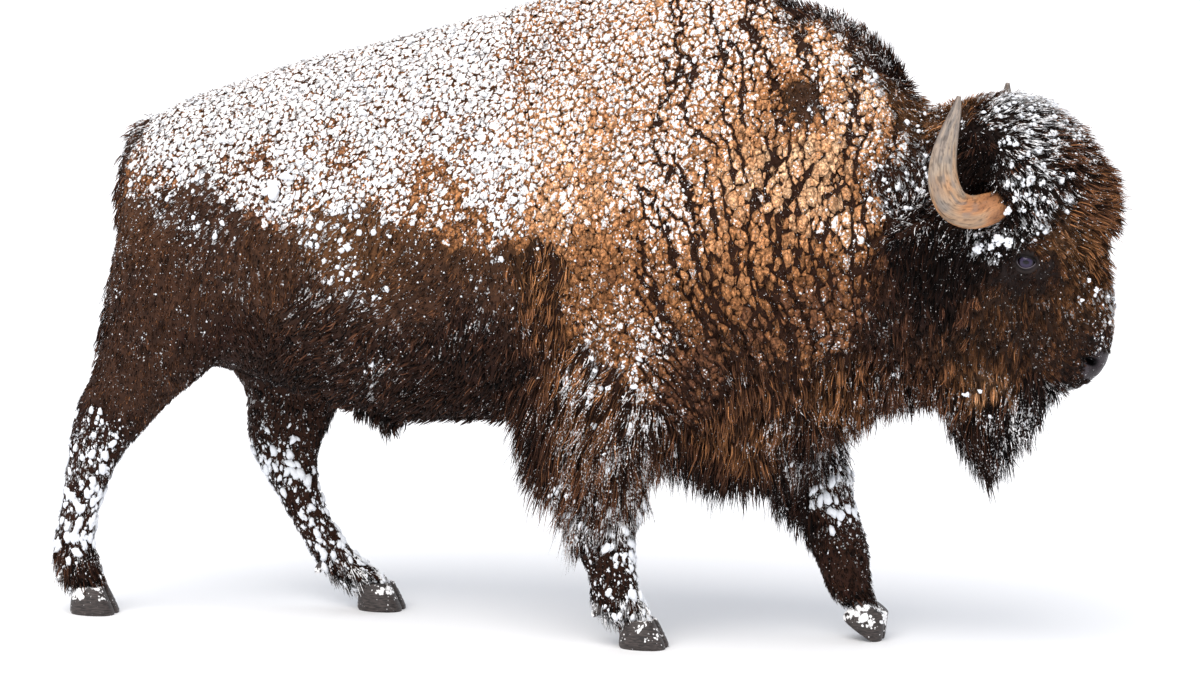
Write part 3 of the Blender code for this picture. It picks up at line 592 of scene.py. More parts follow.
def gathered(names):
    """One mesh of the named solids, each merged at its corners."""
    shape = bmesh.new()
    for name in names:
        shape.from_mesh(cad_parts[name].data)
    bmesh.ops.remove_doubles(shape, verts=shape.verts, dist=1e-5)
    return as_mesh("gathered", shape)


# %% Specks and finer faces
def drop_specks(shape):
    """Deletes islands of a few points, which a remesh leaves where a thin end shrinks away. Each point
    takes the lowest number among its neighbours until nothing changes, so an island has one number."""
    ends = np.array([[v.index for v in e.verts] for e in shape.edges])
    label, before = np.arange(len(shape.verts)), None
    while before is None or (before != label).any():
        before = label.copy()
        np.minimum.at(label, ends.ravel(), np.repeat(label[ends].min(1), 2))
        label = label[label]
    shape.verts.ensure_lookup_table()
    specks = [shape.verts[i] for i in np.flatnonzero(np.bincount(label)[label] < SPECK)]
    bmesh.ops.delete(shape, geom=specks, context="VERTS")


def near_centres(shape, centres, reach):
    """Whether each point of a bmesh is near one of the centres."""
    shape.verts.index_update()
    shape.verts.ensure_lookup_table()
    places = np.array([v.co for v in shape.verts])
    return np.min([np.linalg.norm(places - c, axis=1) for c in centres], axis=0) < reach


def refined(mesh, centres, reaches):
    """The mesh with its edges near the centres halved, once for each reach, and smoothed there."""
    shape = bmesh.new()
    shape.from_mesh(mesh)
    drop_specks(shape)
    for reach in reaches:
        near = near_centres(shape, centres, reach)
        shape.edges.ensure_lookup_table()
        ends = np.array([[v.index for v in e.verts] for e in shape.edges])
        chosen = [shape.edges[i] for i in np.flatnonzero(near[ends].all(1))]
        bmesh.ops.subdivide_edges(shape, edges=chosen, cuts=1, use_grid_fill=True)
        near = near_centres(shape, centres, reach)
        soft = [shape.verts[i] for i in np.flatnonzero(near)]
        every_way = dict(use_axis_x=True, use_axis_y=True, use_axis_z=True)
        for _ in range(3):
            bmesh.ops.smooth_vert(shape, verts=soft, factor=SOFTEN, **every_way)
    bmesh.ops.triangulate(shape, faces=shape.faces)
    return as_mesh("hide", shape)


# %% From the solids to the hide
outline = one_surface(gathered(FLESH), HIDE_VOXEL, 6)
outer = coat_at(points_of(outline))
hangs_below = smooth(0.1, 0.9, -normals_of(outline)[:, 2]) * outer["hang"] * outer["length"] * HANG_ROOM
inward = points_of(outline) - normals_of(outline) * (outer["depth"] + hangs_below)[:, None] / 1000
outline.vertices.foreach_set("co", inward.ravel())
fine_places = np.array([place * (1, side, 1) for place in (EYE_CENTRE, NOSTRIL) for side in BOTH_SIDES])
hide_mesh = one_surface(outline, HIDE_VOXEL, 4)
hide_mesh = refined(hide_mesh, turn_about_neck(fine_places, 1.0), FINER_WITHIN)
print("hide:", len(hide_mesh.polygons), "triangles")

# %% [markdown]
# The nostrils, the mouth and the eye sockets are pressed into the hide, and the neck's folds run down it.
# Each is a smooth function of a point's distance from a centre or a line.

# %% The face
SOCKET_FLOOR = -0.004  # height of the hide behind the eyeball, from the eyeball's centre
SOCKET_RIM = 0.0160  # height of the hide round the lids
SOCKET_WALL = (0.0215, 0.0305)  # from the eye's axis: the floor rises to the rim between them
SOCKET_REACH = (0.062, 0.040)  # from the eye's axis: not moved at all, and moved all the way
SOCKET_BACK = (-0.06, -0.03)  # the same along the eye's axis, so the far side of the head stays
LIDS_END = (0.0270, 0.0300)  # from the eye's centre: hair grows from none to full
NOSTRIL_AXES = ((0.60, -0.72, -0.34), (0.30, -0.20, 0.93))  # along and across the left slit
NOSTRIL_HALF = (0.024, 0.012)
NOSTRIL_DEEP, NOSTRIL_RIM, NOSTRIL_NEAR = 0.030, 0.007, 0.06
RIM_BESIDE, RIM_HALF = 0.014, 0.008  # the raised rim's middle, from the slit's, and half its width
MOUTH_DEEP, MOUTH_HALF = 0.007, 0.006
NOSE_MIDDLE, NOSE_HALF = (1.478, 0.030, 0.818), (0.048, 0.046, 0.047)  # the bare nose pad
NOSE_EDGE = (1.25, 0.85)  # squared distance in half sizes: where the pad ends, and where it is whole
MOUTH_LINE = ((1.475, 0.000, 0.765), (1.440, 0.045, 0.770), (1.380, 0.075, 0.782), (1.320, 0.095, 0.800))


def on_nose(ahead):
    """1 on the bare nose pad, which is a rounded box across the front of the muzzle, and 0 off it."""
    x, y, z = ((np.abs(ahead) - NOSE_MIDDLE) / NOSE_HALF).T
    return smooth(*NOSE_EDGE, x**2 + np.maximum(y, 0) ** 2 + z**2)


def from_line(points, line):
    """Distance of each point from a bent line."""
    nearest = np.full(len(points), 9.0)
    for start, end in zip(np.array(line[:-1]), np.array(line[1:])):
        run = end - start
        share = np.clip((points - start) @ run / (run @ run), 0, 1)
        nearest = np.minimum(nearest, np.linalg.norm(points - start - share[:, None] * run, axis=1))
    return nearest


# %% Sockets, nostrils and mouth
def sockets(ahead):
    """How far each point of a straight head moves along the eye's outward line to make the socket."""
    move = np.zeros_like(ahead)
    for side in BOTH_SIDES:
        outward = EYE_OUTWARD * (1, side, 1)
        away = ahead - EYE_CENTRE * (1, side, 1)
        height = away @ outward
        across = np.linalg.norm(away - height[:, None] * outward, axis=1)
        wanted = SOCKET_FLOOR + (SOCKET_RIM - SOCKET_FLOOR) * smooth(*SOCKET_WALL, across)
        share = smooth(*SOCKET_REACH, across) * smooth(*SOCKET_BACK, height)
        move += (share * (wanted - height))[:, None] * outward
    return move


def clear_of_lids(ahead):
    """0 over an eye's opening and lids, and 1 away from them."""
    away = [np.linalg.norm(ahead - EYE_CENTRE * (1, side, 1), axis=1) for side in BOTH_SIDES]
    return smooth(*LIDS_END, np.min(away, axis=0))


def face_press(ahead):
    """How deep the nostrils and the mouth are pressed in, and the rim raised over each nostril."""
    depth = np.zeros(len(ahead))
    for side in BOTH_SIDES:
        away = ahead - NOSTRIL * (1, side, 1)
        long_way, short_way = (away @ (np.array(axis) * (1, side, 1)) for axis in NOSTRIL_AXES)
        gap = (long_way / NOSTRIL_HALF[0]) ** 2 + (short_way / NOSTRIL_HALF[1]) ** 2
        rim = (long_way / NOSTRIL_HALF[0]) ** 2 + ((short_way - RIM_BESIDE) / RIM_HALF) ** 2
        near = np.linalg.norm(away, axis=1) < NOSTRIL_NEAR
        depth += near * (NOSTRIL_DEEP * np.exp(-(gap**1.5)) - NOSTRIL_RIM * np.exp(-rim))
        depth += MOUTH_DEEP * bell(from_line(ahead * (1, side, 1), MOUTH_LINE), 0, MOUTH_HALF)
    return depth


# %% The neck's folds
def fold_count(points, salt):
    """Counts the folds of one size: at whole numbers lie their middles. The folds fan out from a pole under
    the throat, a little swayed. Also gives the distance from the pole and the side of the body."""
    apart, _, _, _, slant = FOLDS[salt]
    away = facing_ahead(points) - FOLD_POLE
    fan = np.arctan2(away[:, 0], away[:, 2]) * FOLD_REACH
    down = np.hypot(away[:, 0], away[:, 2])
    sway = waves(points, (1.7, 0.003 * apart, 90 + salt), (0.4, 0.02, 93 + salt))
    return (fan + slant * down) * 1000 / apart + sway, down, away[:, 1] > 0


def fold_there(number, down, left, salt):
    """Each fold comes and goes along its length: 1 where it is open, and 0 where it is closed."""
    run = np.column_stack((number * 7.3 + left * 31, down * 1000 / FOLDS[salt][3], 0 * down))
    return smooth(*FOLD_OPENS[salt], ripple(run, 1.0, 310 + salt))


def folds_at(points, coat):
    """How much each point lies in a fold, from 0 to 1, and how deep that is in metres."""
    line, depth = np.zeros((2, len(points)))
    front = smooth(*FOLDS_FROM, points[:, 0])
    for salt, (apart, wide, deep, _, _) in enumerate(FOLDS):
        phase, down, left = fold_count(points, salt)
        number = np.round(phase)
        strength = np.minimum(FOLD_GAIN * coat["folds"], 1) * front * fold_there(number, down, left, salt)
        strength = strength * np.exp(-((np.abs(phase - number) * apart / wide) ** 2))
        line = np.maximum(line, strength)
        depth += strength * deep / 1000
    return line, depth


# %% Press them in
place = points_of(hide_mesh)
place += turn_about_neck(sockets(facing_ahead(place)) + HEAD_PIVOT, 1.0) - HEAD_PIVOT
coat = coat_at(place)
nose = on_nose(facing_ahead(place))
coat["cover"] = coat["cover"] * (1 - nose) * clear_of_lids(facing_ahead(place))
fold, fold_depth = folds_at(place, coat)
folded = fold_depth + face_press(facing_ahead(place))
place -= normals_of(hide_mesh) * folded[:, None]
hide_mesh.vertices.foreach_set("co", place.ravel())
hide_mesh.update()
print("deepest press", folded.max())

# %% [markdown]
# ## Hide finish
# Under the coat the hide is leather with the coat's own markings, seen only in the gaps between clumps, and
# its colour is darkened there as painted shade, most in the neck's folds and on the head. Round the eyes and
# on the nose it is bare: dark grey, slightly moist, with a fine pebbled grain.

# %% Coat finishes
HAIRY = {"Detail": 3.0, "Roughness": 0.6}  # how a noise that stands for hair is broken up
SNOW_EDGE = {"From Min": 0.53, "From Max": 0.65}  # the amount at which snow starts, and where it is whole
SNOW_PALE = "#fbfafa"
CURL_DEPTH = 0.004


def snow_over(tree, place, colour, under, spot_scale):
    """Snow lies where the painted amount is high and at the middle of spots. The spots are cells of one
    part in spot_scale of a metre, made ragged by a finer noise."""
    here = {"Vector": (place, "Object")}
    spots = add(tree, "TexVoronoi", {"Scale": spot_scale}, here)
    grains = add(tree, "TexNoise", {"Scale": 130.0, **HAIRY}, here)
    ragged = add(tree, "Math", {1: 1.2}, {0: (grains, "Fac")}, operation="MULTIPLY")
    painted = add(tree, "Math", None, {0: (colour, "Alpha"), 1: (ragged, "Value")}, operation="ADD")
    sources = {0: (spots, "Distance"), 2: (painted, "Value")}
    amount = add(tree, "Math", {1: -0.9}, sources, operation="MULTIPLY_ADD")
    edge = add(tree, "MapRange", SNOW_EDGE, {"Value": (amount, "Value")})
    layers = {"Factor": (edge, "Result"), "A": under}
    return add(tree, "Mix", {"B": rgba(SNOW_PALE)}, layers, data_type="RGBA"), "Result"


def tinted_by(tree, colour, pattern, low, high):
    """A colour made lighter and darker by a pattern between two factors."""
    factors = {"From Min": 0.3, "From Max": 0.7, "To Min": low, "To Max": high}
    shade = add(tree, "MapRange", factors, {"Value": pattern})
    sources = {0: colour, "Scale": (shade, "Result")}
    return add(tree, "VectorMath", None, sources, operation="SCALE"), "Vector"


# %% Finishes of the coat and the hide
def coat_finish(name, grain_scale, bump_mm, spot_scale, curl_scale=0.0, **shader_values):
    """A coat finish: the painted colour, streaked by its grain, with painted light on its curls and painted
    shade between them, under snow.
    """
    finish, tree, shader = new_finish(name, **shader_values)
    colour = add(tree, "Attribute", attribute_name="coat")
    place = add(tree, "TexCoord")
    here = {"Vector": (place, "Object")}
    grain = add(tree, "TexNoise", {"Scale": grain_scale, **HAIRY}, here)
    hair = tinted_by(tree, (colour, "Color"), (grain, "Fac"), 0.62, 1.38)
    bump = add(tree, "Bump", {"Strength": 0.8, "Distance": bump_mm / 1000}, {"Height": (grain, "Fac")})
    if curl_scale:
        curls = add(tree, "TexVoronoi", {"Scale": curl_scale}, here)
        # Painted light and shade: each curl is lighter at its middle and darker towards its border.
        hair = tinted_by(tree, hair, (curls, "Distance"), 1.30, 0.55)
        height = {"Height": (curls, "Distance")}
        rounded = add(tree, "Bump", {"Strength": 1.0, "Distance": CURL_DEPTH}, height, invert=True)
        join(tree, bump, {"Normal": (rounded, "Normal")})
    snowy = snow_over(tree, place, colour, hair, spot_scale)
    join(tree, shader, {"Base Color": snowy, "Normal": (bump, "Normal")})
    return finish


def dress(tree, shader, colour, pattern, strength, depth):
    """Gives a shader its colour, and relief of a depth in metres from a pattern."""
    bump = add(tree, "Bump", {"Strength": strength, "Distance": depth}, {"Height": pattern})
    join(tree, shader, {"Base Color": colour, "Normal": (bump, "Normal")})


def hide_finish():
    """Leather under short hair: matt, with hair-like grain of about 3 mm, smooth and moist on the nose."""
    finish = coat_finish("leather_under_hair", 300.0, 1.2, 150.0, Roughness=0.6, Specular_IOR_Level=0.12)
    tree = finish.node_tree
    moist = add(tree, "Attribute", attribute_name="moist")
    rough = add(tree, "MapRange", {"To Min": 0.62, "To Max": 0.34}, {"Value": (moist, "Fac")})
    join(tree, tree.nodes["Principled BSDF"], {"Roughness": (rough, "Result")})
    return finish


# %% [markdown]
# A piece is made from whole arrays: its points, its triangles, a colour for each point and a place on the
# bake map for each corner. Its colour's alpha is how much snow lies there. Most pieces are rings of points,
# so a few helpers number the triangles between rings and close the ends.


# %% Making pieces
def put_on_points(mesh, name, kind, field, values):
    """Puts values on a mesh's points under a name, for its material to read."""
    layer = mesh.attributes.new(name, kind, "POINT")
    layer.data.foreach_set(field, values.astype(np.float32).ravel())


def new_piece(name, points, faces, finish, colours=None, bake=None):
    """A mesh object from arrays: points, triangles, a linear colour for each point with or without its
    snow from 0 to 1 as alpha, and the bake map's place for each corner."""
    mesh = bpy.data.meshes.new(name)
    faces = np.ascontiguousarray(faces, dtype=np.int32)
    mesh.vertices.add(len(points))
    mesh.vertices.foreach_set("co", np.asarray(points, np.float32).ravel())
    mesh.loops.add(faces.size)
    mesh.loops.foreach_set("vertex_index", faces.ravel())
    mesh.polygons.add(len(faces))
    mesh.polygons.foreach_set("loop_start", np.arange(0, faces.size, 3, dtype=np.int32))
    mesh.update(calc_edges=True)
    mesh.polygons.foreach_set("use_smooth", np.ones(len(faces), bool))
    if colours is not None:
        snow = np.zeros((len(colours), 4 - colours.shape[1]))
        put_on_points(mesh, "coat", "FLOAT_COLOR", "color", np.column_stack((colours, snow)))
    if bake is not None:
        mesh.uv_layers.new(name="OFBake").data.foreach_set("uv", np.asarray(bake, np.float32).ravel())
    mesh.materials.append(finish)
    made = in_scene(name, mesh)
    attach(made, "root")
    return made


# %% Triangles between rings
def grid_triangles(rows, columns):
    """Triangles between the points of a grid whose columns close into a ring."""
    i, j = np.meshgrid(np.arange(rows - 1), np.arange(columns), indexing="ij")
    a, b = i * columns + j, i * columns + (j + 1) % columns
    c, d = b + columns, a + columns
    return np.vstack([np.column_stack([k.ravel() for k in three]) for three in ((a, b, c), (a, c, d))])


def fan(start, sides, tip):
    """Triangles from each side of a ring, which starts at that point, to a tip."""
    j = np.arange(sides)
    return np.column_stack((start + j, start + (j + 1) % sides, np.full(sides, tip)))


def closed_tube(rings):
    """Points and triangles of rings in order, closed by a middle point at each end."""
    count, sides, _ = rings.shape
    points = np.vstack([rings.reshape(-1, 3), rings[0].mean(0), rings[-1].mean(0)])
    start = fan(0, sides, count * sides)[:, [1, 0, 2]]
    end = fan((count - 1) * sides, sides, count * sides + 1)
    return points, np.vstack([grid_triangles(count, sides), start, end])


def full_turn(steps):
    """Angles once round, in even steps."""
    return np.linspace(0, 2 * np.pi, steps, endpoint=False)


# %% Hide and bare skin
BARE_SKIN, NOSE_SKIN, DARKEST_PAINTED_SHADE = linear("#231a18"), linear("#383235"), linear("#2c160a")
bare = smooth(11, 8.5, coat["length"])
head = smooth(0.95, 1.10, place[:, 0])
# Painted shade: the hide between the tufts is darkened, more in the neck's folds and on the head. The streaks
# are lighter and darker hair.
shade = 0.30 - 0.28 * smooth(0.1, 0.6, coat["folds"]) - 0.18 * head
light = np.maximum(shade, 0.02) * (0.55 + 0.9 * cells(place, STREAKS, 500)[2])
# Painted shade in the folds: darker and browner there, though never darker than a set floor, which is lower
# on the head.
hide_colour = coat_colour(coat["tone"] - 0.3 * fold) * (light * (1 - 0.9 * fold))[:, None]
hide_colour = np.maximum(hide_colour, DARKEST_PAINTED_SHADE * (1 - 0.65 * head[:, None]))
hide_colour = hide_colour * (1 - bare[:, None]) + BARE_SKIN * bare[:, None]
pebbled = nose * (0.55 + 0.9 * ripple(place, 0.02, 97))
hide_colour = hide_colour * (1 - nose[:, None]) + NOSE_SKIN * pebbled[:, None]
# Painted shade: the nostrils and the mouth line are darkened where they are pressed in deepest.
hide_colour *= (1 - 0.95 * smooth(0.004, 0.015, face_press(facing_ahead(place))))[:, None]
hide_faces = read(hide_mesh.polygons, "vertices", np.int32)
hide = new_piece("hide", place, hide_faces, hide_finish(), hide_colour)
put_on_points(hide.data, "moist", "FLOAT", "value", nose)
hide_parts(*FLESH)
hide_normals = normals_of(hide.data)
print("hide made,", len(FLESH), "solids replaced")

# %% [markdown]
# ## Eyes and lids
# A bison's eye is a dark glossy ball, about 5 cm across, that stands out at the side of the head. Two bare
# lids close over it to an almond. Each pair of lids is a closed ring of skin: it starts out on the hide,
# follows the ball to the lids' edge, rounds over the edge, and comes back underneath.

# %% Eyes
PUPIL_HALF = (0.0085, 0.0050)
IRIS_RIM = (0.0150, 0.0180)  # from the middle of the front: the iris ends in a dark rim between them
EYE_SIDES, EYE_RINGS = 48, 33
SIDES = ((1, "left"), (-1, "right"))


def eye_axes(side):
    """Outward, forward and upward directions at an eye of a straight head."""
    outward = EYE_OUTWARD * (1, side, 1)
    level = np.array((1.0, 0, -0.12))
    forward = unit(level - (level @ outward) * outward)
    return outward, forward, side * np.cross(forward, outward)


def on_head(local, side):
    """Points given as forward, upward and outward from an eye's centre, placed on the turned head."""
    outward, forward, upward = eye_axes(side)
    x, y, z = (local[:, k : k + 1] for k in range(3))
    return turn_about_neck(EYE_CENTRE * (1, side, 1) + x * forward + y * upward + z * outward, 1.0)


def eyeball(side):
    """A sphere from its front to its back, in rings. Its colour depends on the place across the front."""
    turn = full_turn(EYE_SIDES) * -side
    polar = np.linspace(0, np.pi, EYE_RINGS)[1:-1, None]
    across = np.sin(polar)
    local = np.stack((across * np.cos(turn), across * np.sin(turn), np.cos(polar) + 0 * turn), axis=-1)
    points, faces = closed_tube(local[::-1] * EYE_RADIUS)
    x, y = points[:, 0], points[:, 1]
    iris = smooth(0.9, 1.2, np.hypot(x / PUPIL_HALF[0], y / PUPIL_HALF[1]))[:, None]
    rim = smooth(*IRIS_RIM, np.hypot(x, y))[:, None]
    colours = linear("#08060a") * (1 - iris) + linear("#2f2640") * iris
    colours = colours * (1 - rim) + linear("#120c0f") * rim
    return on_head(points, side), faces, colours


# %% Lids
ALMOND_HALF, ALMOND_RISE, ALMOND_DROP = 0.0232, 0.0120, 0.0152
LID_REACH, LID_THICK, LID_SIDES = 0.038, 0.0045, 96
LID_OVER_BALL, LID_OVER_HIDE = 0.0028, 0.0008
LID_SINKS = 0.0024  # how far the lids' outer reach runs down into the hide
UPPER_GROOVE, LOWER_GROOVE = (0.36, 0.0030), (0.32, 0.0016)  # share of the reach, and depth
GROOVE_HALF = 0.07
LID_RINGS = (  # from the lids' outer reach, at 1, to their edge, at 0
    1.0, 0.9, 0.8, 0.7, 0.6, 0.52, 0.45, 0.38, 0.31, 0.25, 0.19, 0.14, 0.10, 0.07, 0.04, 0.015, 0.0,
)
LID_EDGE_DROP = (0.0004, 0.0014, 0.0026)  # how the last three rings round over


def lids(side):
    """Rings from the lids' outer reach to their edge, and back underneath. The height follows the ball near
    the edge and the hide far from it, less a groove over the eye, one under it and fine wrinkles."""
    turn = full_turn(LID_SIDES) * -side
    c, s = np.cos(turn), np.sin(turn)
    share = np.array(LID_RINGS)[:, None]
    almond = np.where(s > 0, ALMOND_RISE * np.abs(s) ** 0.85, -ALMOND_DROP * np.abs(s) ** 1.15)
    edge_x, edge_y = ALMOND_HALF * c, almond * (1 - 0.18 * c)
    x = edge_x + (LID_REACH * c - edge_x) * share
    y = edge_y + (LID_REACH * 0.92 * s - edge_y) * share
    across = np.hypot(x, y)
    ball = np.sqrt(np.maximum((EYE_RADIUS + LID_OVER_BALL) ** 2 - np.minimum(across, EYE_RADIUS) ** 2, 0))
    skin = SOCKET_RIM + LID_OVER_HIDE - LID_SINKS * smooth(0.72, 1.0, share)
    blend = smooth(0.012, 0.030, across)
    height = ball * (1 - blend) + np.maximum(skin, ball * 0.9) * blend
    height = np.where(share > 0.6, skin + (height - skin) * smooth(1.0, 0.6, share), height)
    upper = smooth(-0.2, 0.3, s)
    round_eye = np.stack((0.012 * c + 0 * x, 0.012 * s + 0 * x, 0.035 * share + 0 * x), axis=-1)
    crinkle = ripple(round_eye.reshape(-1, 3), 0.0045, 98).reshape(x.shape) - 0.5
    groove = bell(share, UPPER_GROOVE[0], GROOVE_HALF) * upper * UPPER_GROOVE[1]
    groove = groove * (1 + 0.8 * crinkle) + 0.0022 * crinkle * smooth(0.12, 0.35, share)
    below = bell(share, LOWER_GROOVE[0], GROOVE_HALF) * (1 - upper) * LOWER_GROOVE[1]
    height = height - groove - below * (1 + 2 * crinkle)
    height[-3:] -= np.array(LID_EDGE_DROP)[:, None]
    under = np.stack((x[::-1], y[::-1], height[::-1] - LID_THICK), axis=-1)
    rings = np.concatenate((np.stack((x, y, height), axis=-1), under))
    count, sides, _ = rings.shape
    faces = grid_triangles(count + 1, sides) % (count * sides)
    colours = lid_colours(*(np.concatenate((rows, rows[::-1])) for rows in (share, crinkle)), 1 - upper, c)
    return on_head(rings.reshape(-1, 3), side), faces, colours.reshape(-1, 3)


# %% Colours of the lids
def lid_colours(share, crinkle, lower, forward):
    """Dark wrinkled skin, with the upper edge black. The lower lid has a painted highlight: it is greyer,
    with a pale painted reflection along its wet margin.
    """
    share = share + 0 * forward
    lower = lower * np.ones_like(share)
    colours = toward(linear("#140d0c"), BARE_SKIN, smooth(0.25, 0.6, share))
    colours = colours * (1 + 0.9 * crinkle)[..., None]
    # Painted highlight: the lower lid is greyer near its edge and towards the front.
    grey = lower * smooth(0.50, 0.2, share) * smooth(-0.6, 0.5, forward)
    colours = toward(colours, linear("#2c2426"), grey)
    # Painted reflection: a pale line along the wet margin of the lower lid.
    colours = toward(colours, linear("#635c61"), smooth(0.16, 0.05, share) * lower)
    return toward(colours, linear("#0c090a"), smooth(0.30, 0.12, share) * (1 - lower))


# %% Eye and lid pieces
def skin_finish():
    """Bare, slightly moist skin of the lids: dark grey with a fine pebbled grain."""
    finish, tree, shader = new_finish("bare_lid_skin", Roughness=0.55, Specular_IOR_Level=0.2)
    colour = add(tree, "Attribute", attribute_name="coat")
    grain = add(tree, "TexVoronoi", {"Scale": 620.0}, {"Vector": (add(tree, "TexCoord"), "Object")})
    dress(tree, shader, (colour, "Color"), (grain, "Distance"), 0.35, 0.0008)
    return finish


def eye_finish():
    """Wet cornea over a dark iris: almost mirror smooth."""
    finish, tree, shader = new_finish("wet_cornea", Roughness=0.05, IOR=1.38)
    join(tree, shader, {"Base Color": (add(tree, "Attribute", attribute_name="coat"), "Color")})
    return finish


EYE_WET, LID_SKIN = eye_finish(), skin_finish()
for side, word in SIDES:
    points, faces, colours = eyeball(side)
    ball = new_piece("eyeball_" + word, points, faces, EYE_WET, colours)
    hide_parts("eye_" + word)
    points, faces, colours = lids(side)
    new_piece("lids_" + word, points, faces, LID_SKIN, colours)
print("eyes and lids made")

# %% [markdown]
# ## Horns
# A horn sheath grows from its root, so it has rings across and weathered streaks along it. It is a tube of
# rings square to a smooth curve, with its radius changed by rings near the root and by shallow flutes.

# %% A tube along a curve
HORN_PATH = (  # x, distance from the middle plane, z and radius
    (1.160, 0.120, 1.270, 0.0400), (1.130, 0.180, 1.252, 0.0425), (1.090, 0.235, 1.245, 0.0440),
    (1.052, 0.277, 1.268, 0.0440), (1.034, 0.300, 1.320, 0.0415), (1.032, 0.304, 1.385, 0.0350),
    (1.042, 0.292, 1.450, 0.0260), (1.054, 0.272, 1.510, 0.0155), (1.060, 0.260, 1.552, 0.0060),
)
HORN_AHEAD = 0.013  # how far the sheaths stand ahead of the stations
HORN_SIDES = 72
GROWTH = 0.0105  # metres from one growth ring to the next
RING_HIGH, FLUTE_HIGH, WOBBLE = 0.018, 0.035, 0.05  # shares of the radius
HORN_TONES = (
    (0.0, "#94613f"), (0.22, "#c58a5c"), (0.40, "#be9672"),
    (0.62, "#b19d89"), (0.85, "#9e8f83"), (1.0, "#62554d"),
)


def through(stations, steps):
    """Rows between the stations, on a Catmull-Rom curve through them."""
    rows = np.array(stations, float)
    padded = np.vstack([2 * rows[0] - rows[1], rows, 2 * rows[-1] - rows[-2]])
    neighbours = (padded[:-3], padded[1:-2], padded[2:-1], padded[3:])
    before, start, end, after = (p[:, None, :] for p in neighbours)
    t = np.linspace(0, 1, steps, endpoint=False)[None, :, None]
    curve = 0.5 * (2 * start + (end - before) * t + (2 * before - 5 * start + 4 * end - after) * t**2
                   + (3 * start - before - 3 * end + after) * t**3)
    return np.vstack([curve.reshape(-1, rows.shape[1]), rows[-1:]])


def tube_rings(path, radius, side, turn):
    """Rings square to a path. Their first direction stays near the side that is given."""
    heading = unit(np.gradient(path, axis=0))
    broad = unit(side - (heading @ side)[:, None] * heading)
    thin = np.cross(heading, broad)
    return path[:, None, :] + radius[..., None] * (
        np.cos(turn)[..., None] * broad[:, None, :] + np.sin(turn)[..., None] * thin[:, None, :]
    )


# %% Horn sheaths
def horn(side):
    """The horn's rings: radius times one plus small waves along (growth rings) and round (flutes)."""
    rows = through(HORN_PATH, 20)
    path = turn_about_neck(rows[:, :3] * (1, side, 1) + (MID_X + HORN_AHEAD, 0, 0), 1.0)
    length = np.append(0, np.cumsum(np.linalg.norm(np.diff(path, axis=0), axis=1)))
    share = (length / length[-1])[:, None]
    turn = full_turn(HORN_SIDES)[None, :] * np.ones_like(share)
    growing = [(0.1 * f(turn)).ravel() for f in (np.cos, np.sin)]
    flow = np.column_stack((*growing, np.repeat(length, HORN_SIDES)))
    wobble = (ripple(flow, 0.045, 401) - 0.5).reshape(turn.shape)
    flutes = (ripple(flow * (1, 1, 0.12), 0.012, 402) - 0.5).reshape(turn.shape)
    rings = np.sin(2 * np.pi * (length[:, None] / GROWTH + 0.8 * wobble)) * smooth(0.55, 0.05, share)
    waved = RING_HIGH * rings + FLUTE_HIGH * flutes * smooth(1.0, 0.7, share) + WOBBLE * wobble
    radius = rows[:, 3:4] * (1 + waved)
    points, faces = closed_tube(tube_rings(path, radius, np.array((0.0, side, 0.3)), turn * side))
    if side < 0:
        faces = faces[:, ::-1]  # a mirrored tube is inside out
    colours = horn_colours(share, wobble, flow)
    return points, faces, *(np.vstack([found, found[:1], found[-1:]]) for found in (colours, flow))


def horn_colours(share, wobble, flow):
    """The tones along the horn, with dark streaks, grey patches and dark specks."""
    colours = colour_between(HORN_TONES, np.clip(share + 0.45 * wobble, 0, 1).ravel())
    streak = ripple(flow * (1, 1, 0.15), 0.006, 403) * ripple(flow, 0.03, 404)
    patch = smooth(0.50, 0.75, ripple(flow, 0.022, 405))
    speck = ripple(flow * (1, 1, 0.5), 0.0045, 406) * 0.6 + 0.4 * ripple(flow, 0.012, 407)
    colours = colours * (1 - 0.55 * smooth(0.35, 0.65, streak))[:, None]
    colours = toward(colours, linear("#7d7773"), 0.6 * patch * smooth(0.15, 0.4, share.repeat(HORN_SIDES)))
    return colours * (1 - 0.55 * smooth(0.55, 0.75, speck))[:, None]


def horn_finish():
    """Weathered horn sheath: dull keratin, with streaks along the growth about 1 mm wide. They follow the
    growth attribute, which is the place on the growing surface: round the horn, and along it."""
    finish, tree, shader = new_finish("weathered_horn_sheath", Roughness=0.48, Specular_IOR_Level=0.45)
    colour = add(tree, "Attribute", attribute_name="coat")
    flow = add(tree, "Attribute", attribute_name="growth")
    drawn = add(tree, "Mapping", {"Scale": (1.0, 1.0, 0.10)}, {"Vector": (flow, "Vector")})
    broken_up = {"Scale": 420.0, "Detail": 4.0, "Roughness": 0.6}
    fibre = add(tree, "TexNoise", broken_up, {"Vector": (drawn, "Vector")})
    streaked = tinted_by(tree, (colour, "Color"), (fibre, "Fac"), 0.62, 1.22)
    dress(tree, shader, streaked, (fibre, "Fac"), 0.5, 0.0012)
    return finish


HORN_SHEATH = horn_finish()
for side, word in SIDES:
    points, faces, colours, flow = horn(side)
    sheath = new_piece("sheath_" + word, points, faces, HORN_SHEATH, colours)
    put_on_points(sheath.data, "growth", "FLOAT_VECTOR", "vector", flow)
    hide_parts("horn_" + word)
print("horn rings from", len(HORN_PATH), "stations")

# %% [markdown]
# ## Hooves
# Each hoof has two claws, flat below and along the cleft and round outside. A claw is a stack of rings
# whose heel, toe and breadth change with height. The far forefoot is lifted at the heel.

